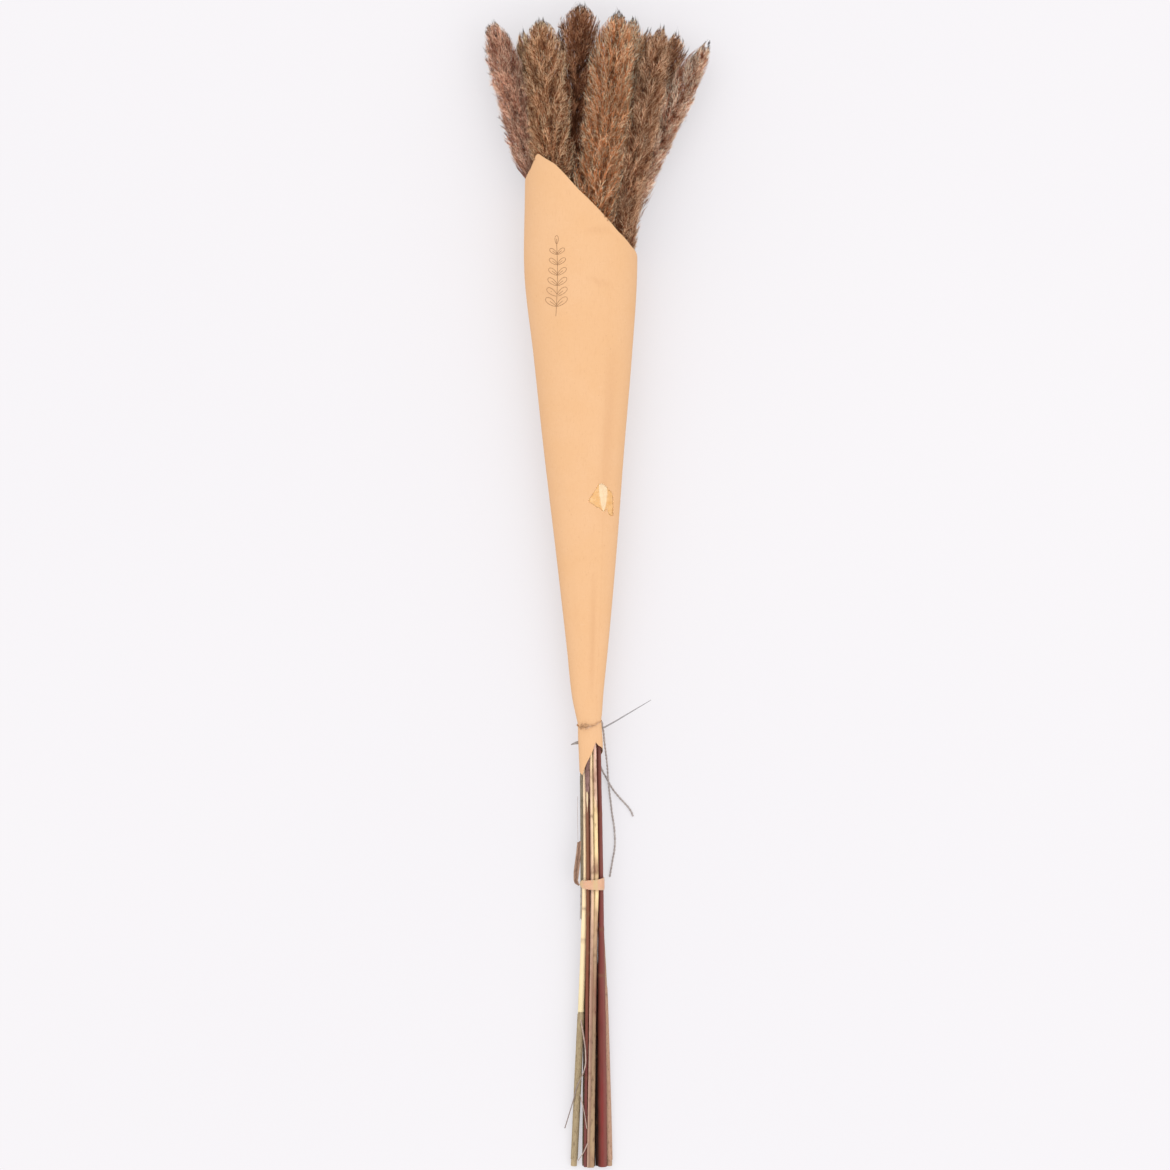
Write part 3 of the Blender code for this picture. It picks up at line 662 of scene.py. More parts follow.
REEDS = (
    Reed("01", -1.5, 0, (-48.0, 31.5), (-90.4, 479.9, 30.0), 1.15, (-21.2, 2.8), 1.2, 2.6,
         PlumeTint.MAUVE, BLUNT, 16.0, (0.9, 0.3), -300.0,
         StemFinish("stem_cream", ((-380.0, KHAKI), (-362.0, (0.70, 0.60, 0.35)),
                                   (-240.0, (0.96, 0.75, 0.48)), (-150.0, (0.88, 0.66, 0.45))),
                    (0.66, 0.49, 0.29), 0.2, 0.05)),
    Reed("02", -1.0, -1, (-42.5, 15.5), (-65.3, 475.5, 14.0), 1.0, (-12.4, 2.4), 0.7, 1.6,
         PlumeTint.TAN, POINTED, 12.5, (0.0, 0.0), -330.0,
         StemFinish("stem_olive", ((-480.0, (0.10, 0.06, 0.035)), (-120.0, (0.16, 0.11, 0.055))),
                    (0.10, 0.06, 0.03), 0.5, 0.2)),
    Reed("03", -1.0, 1, (-36.8, 48.5), (-49.4, 478.0, 48.0), 1.0, (-11.0, 7.6), 1.0, 1.8,
         PlumeTint.TAN, BLUNT, 18.0, (1.3, -0.45), -310.0,
         StemFinish("stem_red_brown", ((-480.0, (0.13, 0.03, 0.035)), (-400.0, (0.14, 0.03, 0.03)),
                                       (-330.0, (0.17, 0.045, 0.022)), (-215.0, (0.18, 0.075, 0.035)),
                                       (-150.0, (0.20, 0.09, 0.07))),
                    (0.22, 0.09, 0.055), 0.2, 0.3, right=(0.06, 0.014, 0.006)), (0.0, 0.15)),
    Reed("04", -0.5, 0, (-26.0, 32.0), (-15.0, 493.5, 34.0), 1.0, (-9.0, 2.9), 1.0, 2.1,
         PlumeTint.UMBER, BROAD, 19.5, (0.0, 0.0), -380.0,
         StemFinish("stem_straw", ((-480.0, (0.05, 0.025, 0.015)), (-300.0, (0.16, 0.10, 0.05)),
                                   (-120.0, (0.34, 0.24, 0.13))), (0.14, 0.08, 0.04), 0.3, 0.2), (0.2, 0.2)),
    Reed("05", 0.0, 1, (-3.4, 49.0), (16.5, 483.8, 52.0), 0.8, (-8.4, 10.3), 1.0, 1.6,
         PlumeTint.SAND, POINTED, 21.0, (0.2, -0.6), -414.0,
         StemFinish("stem_peach", ((-480.0, (0.24, 0.16, 0.11)), (-330.0, (0.28, 0.155, 0.11)),
                                   (-265.0, (0.76, 0.53, 0.35)), (-200.0, PEACH),
                                   (-150.0, (0.86, 0.66, 0.40))),
                    (0.34, 0.19, 0.12), 0.25, 0.4, left=(0.54, 0.35, 0.26)), (0.15, 0.0)),
    Reed("06", 0.5, 0, (1.0, 31.5), (30.2, 482.9, 32.0), 0.9, (-4.7, 4.2), 1.0, 1.8,
         PlumeTint.GOLD, POINTED, 16.5, (0.3, 0.4), -380.0,
         # Near-black towards the foot: painted shade of the gap between the stems, over a dark brown stem
         StemFinish("stem_dark_shaded", ((-480.0, (0.014, 0.005, 0.003)), (-400.0, (0.02, 0.007, 0.004)),
                                  (-300.0, (0.07, 0.018, 0.014)), (-120.0, (0.11, 0.045, 0.03))),
                    (0.04, 0.015, 0.01), 0.2, 0.1)),
    Reed("07", 0.0, -1, (-12.5, 15.5), (43.0, 476.2, 15.0), 0.9, (-0.6, 2.6), 0.4, 2.1,
         PlumeTint.DARK, POINTED, 14.0, (0.0, 0.0), -400.0,
         # Near-black towards the foot: painted shade of the gap between the stems, over a brown stem
         StemFinish("stem_umber_shaded", ((-480.0, (0.014, 0.006, 0.004)), (-300.0, (0.03, 0.012, 0.008)),
                                   (-120.0, (0.22, 0.14, 0.08))), (0.03, 0.015, 0.01), 0.3, 0.2)),
    Reed("08", 1.0, 1, (19.0, 44.0), (53.2, 473.7, 44.0), 0.9, (-6.1, 9.4), 0.62, 2.5,
         PlumeTint.BROWN, POINTED, 15.0, (-1.1, -0.25), -241.2,
         StemFinish("stem_yellow", ((-480.0, (0.34, 0.235, 0.135)), (-400.0, (0.24, 0.155, 0.10)),
                                    (-350.0, (0.26, 0.165, 0.105)), (-300.0, (0.40, 0.265, 0.165)),
                                    (-262.0, YELLOW_CREAM), (-190.0, YELLOW_CREAM),
                                    (-178.0, (0.86, 0.60, 0.44)), (-140.0, (0.78, 0.50, 0.41))),
                    (0.40, 0.25, 0.14), 0.25, 1.0, left=(0.36, 0.28, 0.13))),
    Reed("09", 1.0, -1, (15.0, 16.0), (66.9, 474.0, 13.0), 0.9, (9.2, 2.8), 0.5, 2.5,
         PlumeTint.BROWN, POINTED, 16.5, (0.0, 0.0), -415.0,
         StemFinish("stem_rose", ((-480.0, (0.43, 0.28, 0.18)), (-420.0, (0.43, 0.25, 0.20)),
                                  (-380.0, (0.46, 0.26, 0.22)), (-120.0, (0.33, 0.19, 0.13))),
                    (0.26, 0.14, 0.105), 0.3, 0.5, right=(0.34, 0.225, 0.13)), (0.0, 0.4)),
    Reed("10", 1.5, 0, (22.6, 28.0), (93.6, 463.8, 26.0), 1.0, (3.4, 5.6), 0.9, 3.8,
         PlumeTint.PEACH, SLIM, 14.0, (0.3, 0.1), -330.0,
         StemFinish("stem_burgundy", ((-480.0, (0.17, 0.024, 0.02)), (-440.0, (0.18, 0.016, 0.016)),
                                      (-400.0, (0.125, 0.02, 0.017)),
                                      (-290.0, (0.16, 0.03, 0.03)), (-230.0, (0.18, 0.055, 0.045)),
                                      (-190.0, (0.10, 0.02, 0.013)), (-140.0, (0.10, 0.035, 0.028))),
                    (0.17, 0.05, 0.038), 0.25, 0.2, left=(0.09, 0.02, 0.012), right=(0.18, 0.06, 0.05)),
         (0.9, 0.0)),
)


class BundleForm:
    """The lines that every piece is set out on, the same as in the solids."""

    def __init__(self) -> None:
        """Tabulate the bundle's outline and the reeds' axes along Y."""
        self.ys = np.arange(-500.0, 541.0, 1.0)
        knots, rows = [s[0] for s in SECTIONS], [s[1:] for s in SECTIONS]
        inside = np.clip(self.ys, knots[0], knots[-1])
        self.columns = np.array([smooth_value(knots, rows, y) for y in inside]).T
        self.heights = np.minimum(AXIS_END_HEIGHT + (self.ys - FOOT_Y) * AXIS_SLOPE, AXIS_MOUTH_HEIGHT)
        self.axes = {reed.name: np.array([self._axis(reed, y) for y in self.ys]) for reed in REEDS}

    def section(self, y: Array) -> tuple:
        """Centre X, centre Z, half width, half height and squareness of the outline at Y."""
        centre_x, half_width, half_height = (np.interp(y, self.ys, c) for c in self.columns)
        squareness = blend(2.5, 2.1, np.clip((y - TIE_Y) / 250.0, 0.0, 1.0))
        return centre_x, np.interp(y, self.ys, self.heights), half_width, half_height, squareness

    def outline(self, y: Array, angle: Array, offset: Array) -> Array:
        """Points round the bundle.

        Args:
            y: Places along it.
            angle: Angles round it in degrees.
            offset: How far outside its outline.

        Returns:
            One row of X, Y and Z for each.
        """
        centre_x, centre_z, half_width, half_height, squareness = self.section(y)
        c, s = np.cos(np.radians(angle)), np.sin(np.radians(angle))
        x = centre_x + (half_width + offset) * np.sign(c) * np.abs(c) ** (2 / squareness)
        z = centre_z + (half_height + offset) * np.sign(s) * np.abs(s) ** (2 / squareness)
        return np.stack([x, np.broadcast_to(y, x.shape), z], axis=-1)

    def slot(self, reed: Reed, y: float) -> tuple[float, float]:
        """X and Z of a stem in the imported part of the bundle."""
        pitch = blend(NECK_PITCH, BAND_PITCH, held((TIE_Y - y) / (TIE_Y - BAND_Y)))
        centre_x, centre_z = self.section(y)[:2]
        return centre_x + reed.column * pitch, centre_z + reed.row * pitch * ROW_RATIO

    def _bent_axis(self, reed: Reed, y: float) -> tuple[float, float]:
        """X and Z of a reed's axis, with a corner at the mouth, the tie and the band."""
        if y >= MOUTH_Y:
            share = ((y - MOUTH_Y) / (reed.tip[1] - MOUTH_Y)) ** reed.fan
            start, end = reed.mouth, reed.tip[::2]
        elif y >= TIE_Y:
            share = (y - TIE_Y) / (MOUTH_Y - TIE_Y)
            start, end = self.slot(reed, TIE_Y), reed.mouth
        elif y >= BAND_Y:
            return self.slot(reed, y)
        else:
            share = (max(SPREAD_Y - y, 0.0) / (SPREAD_Y - FOOT_Y)) ** reed.spread
            start, end = self.slot(reed, BAND_Y), reed.foot
        return blend(start[0], end[0], share), blend(start[1], end[1], share)

    def _axis(self, reed: Reed, y: float) -> Array:
        """X and Z of a reed's axis with its corners rounded off."""
        return sum(np.array(self._bent_axis(reed, y + k * PATH_SMOOTHING / 2)) for k in range(-2, 3)) / 5

    def axis(self, reed: Reed, y: Array) -> Array:
        """X, Y and Z of a reed's axis at places along it."""
        x, z = (np.interp(y, self.ys, column) for column in self.axes[reed.name].T)
        return np.stack([x, y + np.zeros_like(x), z], axis=-1)

    def stem_axis(self, reed: Reed, y: float) -> Vector:
        """A point of a stem's middle, eased to the side where it is bare."""
        return Vector(self.axis(reed, np.array(y))) + Vector((reed.ease[0] * self._bare(y), 0.0, 0.0))

    def stem_radius(self, reed: Reed, y: float) -> float:
        """A stem's radius at Y."""
        if y > TIE_Y:
            return NECK_RADIUS
        if y > BAND_Y:
            plain = blend(BAND_RADIUS, NECK_RADIUS, (y - BAND_Y) / (TIE_Y - BAND_Y))
        else:
            share = (BAND_Y - y) / (BAND_Y - FOOT_Y)
            plain = blend(BAND_RADIUS, reed.foot_radius, min(share * 1.5, 1.0))
        return plain + reed.ease[1] * self._bare(y)

    @staticmethod
    def _bare(y: float) -> float:
        """1 where the stems lie bare above and just below the band, fading to 0 either way."""
        return held((-114.0 - y) / 16.0) * held((y + 500.0) / 230.0)

    def twine_point(self, angle: float, y_shift: float, lift: float) -> Vector:
        """The middle of the tied twine round the neck, where it bridges the step of the paper's overlap.

        Args:
            angle: Where round the neck, in degrees.
            y_shift: How much further up the neck than the plain turn.
            lift: How much higher than the plain turn.

        Returns:
            The point.
        """
        sweeps = [(OVERLAP_START - angle - turn) % 360.0 for turn in (-15.0, -8.0, 0.0, 8.0, 15.0)]
        widest = max(sweep + 360.0 * (sweep <= SWEEP - 360.0) for sweep in sweeps)
        paper = -SLEEVE_WALL + PAPER_STEP * widest / 360.0 + PAPER
        y = TIE_Y + TWINE_TILT * math.cos(math.radians(angle)) + y_shift
        offset = paper + GAP + TWINE_RADIUS + 0.15 + lift
        return Vector(self.outline(np.array(y), np.array(angle), np.array(offset)))


def link(name: str, data: bpy.types.ID) -> Piece:
    """Put a new object with its data in the scene."""
    made = bpy.data.objects.new(name, data)
    bpy.context.scene.collection.objects.link(made)
    return made


def finish_mesh(bm: bmesh.types.BMesh, name: str, smooth: bool = True) -> Piece:
    """Turn a bmesh in millimetres into a finished object at the origin.

    Args:
        bm: The bmesh, which is freed.
        name: The piece's name.
        smooth: Whether its faces are shaded smooth.

    Returns:
        The new object.
    """
    bmesh.ops.recalc_face_normals(bm, faces=bm.faces)
    bmesh.ops.scale(bm, vec=(MM, MM, MM), verts=bm.verts)
    mesh = bpy.data.meshes.new(name)
    bm.to_mesh(mesh)
    bm.free()
    if smooth:
        mesh.shade_smooth()
        mesh.set_sharp_from_angle(angle=CORNER)
    return link(name, mesh)


def dress(piece: Piece, finish: Finish, node: str = "") -> Piece:
    """Give a piece its material and its place in the frame.

    Args:
        piece: The finished object.
        finish: Its finish.
        node: The CAD node that it stands for, whose imported part is hidden.

    Returns:
        The piece.
    """
    piece.data.materials.append(finish.material())
    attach(piece, "root")
    if node:
        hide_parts(node)
    LOG.info("%s: %d vertices", piece.name, len(piece.data.vertices))
    return piece


def frames_along(points: Sequence[Vector]) -> list[Matrix]:
    """Turning frames that follow a path without twisting, their Z along it."""
    made: list[Matrix] = []
    side = Vector((0.0, 0.0, 1.0))
    for i, point in enumerate(points):
        along = (points[min(i + 1, len(points) - 1)] - points[max(i - 1, 0)]).normalized()
        if not made and abs(along.dot(side)) > 0.9:
            side = Vector((1.0, 0.0, 0.0))
        side = (side - along * side.dot(along)).normalized()
        turn = Matrix((side, along.cross(side), along)).transposed().to_4x4()
        made.append(Matrix.Translation(point) @ turn)
    return made


def grow_tube(bm: bmesh.types.BMesh, points: Sequence[Vector], radii: Sequence[float], sides: int,
              flatness: float = 1.0) -> bmesh.types.BMFace:
    """Grow a closed tube by extruding a ring along a path.

    Args:
        bm: Where it is made.
        points: The path.
        radii: Radius at each point.
        sides: Corners of the ring.
        flatness: Height of the ring over its width.

    Returns:
        The cap at the path's end.
    """
    places = [turn @ Matrix.Diagonal((radius, radius * flatness, 1.0, 1.0))
              for turn, radius in zip(frames_along(points), radii)]
    start = bmesh.ops.create_circle(bm, cap_ends=True, segments=sides, radius=1.0, matrix=places[0])
    edges = list({edge for vert in start["verts"] for edge in vert.link_edges})
    for before, after in zip(places, places[1:]):
        grown = bmesh.ops.extrude_edge_only(bm, edges=edges)["geom"]
        verts = [g for g in grown if isinstance(g, bmesh.types.BMVert)]
        ring = set(verts)
        edges = [g for g in grown if isinstance(g, bmesh.types.BMEdge) and ring.issuperset(g.verts)]
        bmesh.ops.transform(bm, matrix=after @ before.inverted(), verts=verts)
    return bmesh.ops.edgeloop_fill(bm, edges=edges)["faces"][0]


def lay_sheet(bm: bmesh.types.BMesh, columns: int, rows: int, thickness: float,
              place: Callable[[Array, Array], Array]) -> None:
    """Lay a thin closed sheet on a surface.

    Args:
        bm: Where it is made.
        columns: Divisions along the sheet's first direction.
        rows: Divisions along its second.
        thickness: Its thickness.
        place: Turns arrays of both directions' shares, 0 to 1, into points.
    """
    verts = bmesh.ops.create_grid(bm, x_segments=columns, y_segments=rows, size=0.5)["verts"]
    shares = np.array([v.co for v in verts])[:, :2] + 0.5
    for vert, point in zip(verts, place(shares[:, 0], shares[:, 1])):
        vert.co = point
    faces = list({face for vert in verts for face in vert.link_faces})
    for face in faces:
        face.normal_update()
    bmesh.ops.solidify(bm, geom=faces, thickness=thickness)


def sheet_piece(name: str, columns: int, rows: int, thickness: float,
                place: Callable[[Array, Array], Array]) -> Piece:
    """A piece of one thin sheet, its parts given as to lay_sheet."""
    bm = bmesh.new()
    lay_sheet(bm, columns, rows, thickness, place)
    return finish_mesh(bm, name)


def points_of(piece: Piece) -> Array:
    """A piece's points in millimetres."""
    return np.array([v.co for v in piece.data.vertices]) / MM


def set_attribute(piece: Piece, name: str, values: Array) -> None:
    """Store one number for each of a mesh's vertices."""
    attribute = piece.data.attributes.new(name, "FLOAT", "POINT")
    attribute.data.foreach_set("value", np.asarray(values, np.float32))


def mesh_arrays(bm: bmesh.types.BMesh) -> tuple[Array, Array]:
    """The points and triangles of a bmesh, which is freed."""
    bmesh.ops.triangulate(bm, faces=bm.faces)
    bmesh.ops.recalc_face_normals(bm, faces=bm.faces)
    bm.verts.index_update()
    points = np.array([v.co for v in bm.verts])
    faces = np.array([[v.index for v in f.verts] for f in bm.faces])
    bm.free()
    return points, faces


@dataclass(frozen=True)
class StrandShape:
    """A closed three-sided spindle of unit length, kept as arrays for copying.

    Attributes:
        across: Unit direction of each vertex from the strand's line.
        along: Place of each vertex from root (0) to tip (1).
        faces: Its triangles.
    """

    across: Array
    along: Array
    faces: Array

    @classmethod
    def of_rings(cls, rings: int) -> "StrandShape":
        """A spindle with a number of rings between root and tip."""
        bm = bmesh.new()
        bmesh.ops.create_uvsphere(bm, u_segments=3, v_segments=rings + 1, radius=0.5)
        points, faces = mesh_arrays(bm)
        lengths = np.linalg.norm(points[:, :2], axis=1, keepdims=True)
        across = np.where(lengths > 1e-4, points[:, :2] / np.maximum(lengths, 1e-4), 0.0)
        return cls(across, points[:, 2] + 0.5, faces)


class StrandCloud:
    """Thousands of strands that are gathered as arrays and written to one mesh."""

    # The strands' sides are turned square to this direction
    GUIDE = np.array([0.31, 0.11, 0.94])

    def __init__(self) -> None:
        """Start with no strands."""
        self.points, self.faces, self.tones, self.drifts = [], [], [], []
        self.count = 0

    def add(self, shape: StrandShape, path: Sequence[Array], radius: Array, profile: Array,
            tone: tuple[Array, Array], drift: Array) -> None:
        """Add strands along curved paths.

        Args:
            shape: The strand that is copied.
            path: Arrays of start, bend and end points, one row a strand.
            radius: Radius of each strand, or of all.
            profile: Share of that radius at each of the shape's vertices.
            tone: Tones at each strand's root and tip, or at all.
            drift: Each strand's own shade, 0 to 1.
        """
        count = len(path[0])
        start, bend, end = (p[:, None, :] for p in path)
        t = shape.along[None, :, None]
        line = (1 - t) ** 2 * start + 2 * t * (1 - t) * bend + t**2 * end
        heading = unit(2 * (1 - t) * (bend - start) + 2 * t * (end - bend))
        side = unit(np.cross(heading, self.GUIDE))
        other = np.cross(heading, side)
        out = shape.across[None, :, 0:1] * side + shape.across[None, :, 1:2] * other
        points = line + out * np.broadcast_to(radius, count)[:, None, None] * profile[None, :, None]
        low, high = (np.broadcast_to(t, count)[:, None] for t in tone)
        tones = low + (high - low) * shape.along[None, :]
        drifts = np.repeat(drift, len(shape.along))
        self.append(points.reshape(-1, 3), shape.faces, count, tones.ravel(), drifts)

    def append(self, points: Array, faces: Array, copies: int, tones: Array, drifts: Array) -> None:
        """Add points and the faces of each copy.

        Args:
            points: All the copies' points.
            faces: One copy's triangles.
            copies: How many copies there are.
            tones: Tone of each point.
            drifts: Drift of each point.
        """
        offsets = self.count + len(points) // copies * np.arange(copies)
        self.points.append(points)
        self.faces.append((faces[None, :, :] + offsets[:, None, None]).reshape(-1, 3))
        self.tones.append(tones)
        self.drifts.append(drifts)
        self.count += len(points)

    def to_object(self, name: str, points: Array) -> Piece:
        """Write the strands to an object, with their final points in millimetres."""
        faces = np.concatenate(self.faces).astype(np.int32)
        mesh = bpy.data.meshes.new(name)
        mesh.vertices.add(len(points))
        mesh.vertices.foreach_set("co", (points * MM).astype(np.float32).ravel())
        mesh.loops.add(faces.size)
        mesh.loops.foreach_set("vertex_index", faces.ravel())
        mesh.polygons.add(len(faces))
        mesh.polygons.foreach_set("loop_start", np.arange(0, faces.size, 3, dtype=np.int32))
        mesh.update(calc_edges=True)
        mesh.validate()
        mesh.shade_smooth()
        piece = link(name, mesh)
        set_attribute(piece, "tone", np.concatenate(self.tones))
        set_attribute(piece, "drift", np.concatenate(self.drifts))
        return piece


def round_out(side: Array, up: Array, around: Array) -> Array:
    """Directions at angles round an axis, from two directions across it."""
    return side * np.cos(around)[:, None] + up * np.sin(around)[:, None]


@dataclass
class PlumeBuilder:
    """One reed's head: branchlets, spikelets, silk and dark awns round a slim rachis.

    Attributes:
        form: The bundle's lines.
        reed: Whose head it is.
        seed: Seed of its own random numbers.
        branchlets: Branchlets for each millimetre of a head 15 mm in radius.
        down: Dark strands of painted shade for each millimetre of such a head.
        tuft: Branchlets that grow together.
        spikelets: Spikelets on each branchlet.
        most_faces: Triangles that the head may have.
        awns: Count, nearest and furthest place below the top, reach, lengths and radius of the awns
            at the tip and along the edge.
    """

    form: BundleForm
    reed: Reed
    seed: int
    branchlets: float = 1.9
    down: float = 24.0
    tuft: int = 5
    spikelets: int = 11
    most_faces: int = 180000
    awns: tuple[tuple, ...] = (
        (6, -1.0, 4.0, 0.5, (4.5, 7.5), 0.42),
        (40, 20.0, 150.0, 1.15, (2.6, 4.6), 0.3),
    )

    def __post_init__(self) -> None:
        """Find the Y that the highest strands reach and the one where the head leaves the paper."""
        self.rng, self.cloud = np.random.default_rng(self.seed), StrandCloud()
        self.branch, self.spindle = StrandShape.of_rings(3), StrandShape.of_rings(1)
        self.top = self.reed.tip[1] - 3.5
        centre_x, _, half_width, _, squareness = self.form.section(np.array(330.0))
        across = (self.reed.mouth[0] - centre_x) / half_width
        cosine = math.copysign(min(abs(across), 1.0) ** (squareness / 2), across)
        self.start = float(mouth_edge(np.array(math.degrees(math.acos(cosine))))) - 38.0

    def build(self) -> Piece:
        """Build the head, which is returned finished."""
        self._add_rachis()
        self._add_shade_strands()
        self._add_awns()
        self._add_branchlets()
        node = "plume_" + self.reed.name
        piece = self.cloud.to_object("reed_" + node, self._keep_in_cell())
        return dress(piece, self.reed.tint.value, node)

    def _envelope(self, left: Array) -> Array:
        """How far strands reach from the axis at distances below the top."""
        return np.interp(left, TAPER_PLACES, self.reed.taper) * self.reed.girth

    def _bulge(self, cosine: Array) -> Array:
        """How much further than the envelope the head reaches to its left or right."""
        left, right = self.reed.bulge
        return 1.0 + left * np.clip(-cosine, 0.0, 1.0) + right * np.clip(cosine, 0.0, 1.0)

    def _count(self, per_mm: float) -> int:
        """How many strands the head has, from their number along one that is 15 mm in radius."""
        return int((self.top - self.start) * per_mm * self.reed.girth / 15.0)

    def _axes_at(self, y: Array) -> tuple[Array, ...]:
        """The axis's points at Y, with its direction and two directions across it."""
        ahead = unit(self.form.axis(self.reed, y + 4.0) - self.form.axis(self.reed, y - 4.0))
        side = unit(np.cross(ahead, (0.0, 0.0, 1.0)))
        return self.form.axis(self.reed, y), ahead, side, np.cross(side, ahead)

    def _spindles(self, path: Sequence[Array], radius: Array, ends: float, tone: tuple, drift: Array) -> None:
        """Add short strands, swollen in the middle, whose ends have a share of the radius."""
        swell = np.where(np.abs(self.spindle.along - 0.5) < 0.3, 1.0, ends)
        self.cloud.add(self.spindle, path, radius, swell, tone, drift)

    def _add_rachis(self) -> None:
        """The slim woody core, knobbly where the branchlets leave it."""
        start, end = JOIN_Y + GAP / 2, self.reed.tip[1] - 14.0
        shares = np.linspace(0.0, 1.0, 110)
        path = self.form.axis(self.reed, start + (end - start) * shares)
        knobs = 1.0 + 0.22 * np.sin(shares * 160.0) + 0.12 * np.sin(shares * 59.0)
        radii = np.interp(shares, (0.0, 0.25, 0.6, 1.0), (2.0, 3.0, 2.2, 0.6)) * knobs
        bm = bmesh.new()
        grow_tube(bm, [Vector(p) for p in path], radii, 9)
        points, faces = mesh_arrays(bm)
        self.cloud.append(points, faces, 1, np.full(len(points), 0.16), np.full(len(points), 0.3))

    def _add_shade_strands(self) -> None:
        """Dark strands of painted shade that close the space between the branchlets, mostly on the underside.
        """
        rng, count = self.rng, self._count(self.down)
        y = rng.uniform(self.start, self.top - 16.0, count)
        root, ahead, side, up = self._axes_at(y)
        around = rng.uniform(0.0, 2.0 * math.pi, count)
        out = side * np.cos(around)[:, None] + up * (0.65 * np.sin(around) - 0.3)[:, None]
        away = self._envelope(self.top - y) * rng.uniform(0.1, 0.8, count) * self._bulge(np.cos(around))
        base = root + out * away[:, None]
        turned = ahead + out * rng.uniform(0.1, 0.5, count)[:, None] + rng.normal(0.0, 0.16, (count, 3))
        length = rng.uniform(8.0, 15.0, count)[:, None]
        self._spindles((base, base + ahead * length * 0.5, base + turned * length),
                       rng.uniform(0.14, 0.28, count), 0.1, (0.19, 0.36), rng.uniform(0.1, 0.6, count))

    def _add_awns(self) -> None:
        """Dark awns: a few stout ones at the tip and small ones along the edge."""
        rng = self.rng
        for count, low, high, reach, size, thick in self.awns:
            y = self.top - rng.uniform(low, high, count)
            root, ahead, side, up = self._axes_at(y)
            out = round_out(side, up, rng.uniform(0.0, 2.0 * math.pi, count))
            away = self._envelope(self.top - y) * reach * rng.uniform(0.7, 1.0, count)
            base = root + out * away[:, None]
            turned = unit(ahead + out * rng.uniform(0.2, 0.75, count)[:, None])
            length = rng.uniform(*size, count)[:, None]
            self._spindles((base, base + ahead * length * 0.5, base + turned * length), thick, 0.3,
                           (0.03, 0.0), rng.uniform(0.0, 1.0, count))

    def _add_branchlets(self) -> None:
        """Branchlets with their dark tips, spikelets and silk."""
        rng, start, count = self.rng, self.start, self._count(self.branchlets)
        shares = (np.arange(count) + rng.uniform(0.0, 1.0, count)) / count
        y = start + (self.top - 9.0 - start) * shares
        left = self.top - y
        root, ahead, side, up = self._axes_at(y)
        tuft = np.arange(count) // self.tuft
        around = tuft * 2.39996 + rng.normal(0.0, 0.3, count)
        out = round_out(side, up, around)
        slant = np.radians(np.interp(left, (9.0, 50.0), (18.0, 35.0))) * rng.uniform(0.8, 1.2, count)
        length = np.minimum(34.0, left * 0.92)
        for _ in range(4):
            room = self._envelope(left - length * np.cos(slant)) * rng.uniform(0.66, 1.0, count)
            length = np.minimum(length, room * self._bulge(np.cos(around)) / np.sin(slant) + 2.0)
        lean, tilt = np.cos(slant)[:, None], np.sin(slant)[:, None]
        steep = slant + np.radians(16.0)
        first = ahead * np.cos(steep)[:, None] + out * np.sin(steep)[:, None]
        sway = rng.normal(0.0, 1.0, (count, 3)) * (length * 0.06)[:, None]
        bend = root + first * (length * 0.5)[:, None] + sway
        end = root + (ahead * lean + out * tilt) * length[:, None] - sway
        thin = np.interp(self.branch.along, (0.0, 0.15, 0.5, 0.85, 1.0), (1.0, 1.0, 0.75, 0.5, 0.1))
        tufts = rng.uniform(0.0, 1.0, count // self.tuft + 1)
        drift = 0.8 * tufts[tuft] + rng.uniform(0.0, 0.2, count)
        radius = rng.uniform(0.34, 0.52, count)
        self.cloud.add(self.branch, (root, bend, end), radius, thin, (0.06, 0.16), drift)
        tipped = (self.top - end[:, 1] < 42.0) | (rng.uniform(0.0, 1.0, count) < 0.34)
        self._add_tips(end[tipped], (end - bend)[tipped])
        self._add_spikelets((root, bend, end), drift)

    def _add_tips(self, end: Array, heading: Array) -> None:
        """Small dark awns in which branchlets end, from where they end and how they run there."""
        for thick, sway in ((0.3, 0.16), (0.24, 0.42)):
            turned = unit(heading) + self.rng.normal(0.0, sway, end.shape)
            reach = turned * self.rng.uniform(3.4, 6.4, len(end))[:, None]
            self._spindles((end - reach * 0.1, end + reach * 0.4, end + reach), thick, 0.3, (0.1, 0.01),
                           self.rng.uniform(0.3, 1.0, len(end)))

    def _add_spikelets(self, path: Sequence[Array], drift: Array) -> None:
        """Spikelets along each branchlet, each with a fan of silk.

        Args:
            path: The branchlets' start, bend and end points.
            drift: Their own shades.
        """
        rng, each = self.rng, self.spikelets
        root, bend, end = (np.repeat(p, each, axis=0) for p in path)
        count = len(root)
        t = np.tile(np.linspace(0.18, 1.0, each), len(drift)) + rng.uniform(-0.04, 0.04, count)
        t = np.clip(t, 0.12, 1.0)[:, None]
        base = (1 - t) ** 2 * root + 2 * t * (1 - t) * bend + t**2 * end
        heading = unit((1 - t) * (bend - root) + t * (end - bend))
        scale = np.interp(self.top - base[:, 1], (0.0, 30.0), (0.55, 1.0))
        turned = unit(heading + rng.normal(0.0, 0.27, (count, 3)))
        size = (rng.uniform(3.6, 6.6, count) * scale)[:, None]
        own = np.clip(np.repeat(drift, each) * 0.75 + rng.uniform(0.0, 0.25, count), 0.0, 1.0)
        outer = t[:, 0]
        self._spindles((base, base + (heading * 0.28 + turned * 0.3) * size, base + turned * size),
                       rng.uniform(0.3, 0.48, count), 0.05, (0.07 + 0.08 * outer, 0.12 + 0.22 * outer), own)
        self._add_silk(base, heading, own, scale)

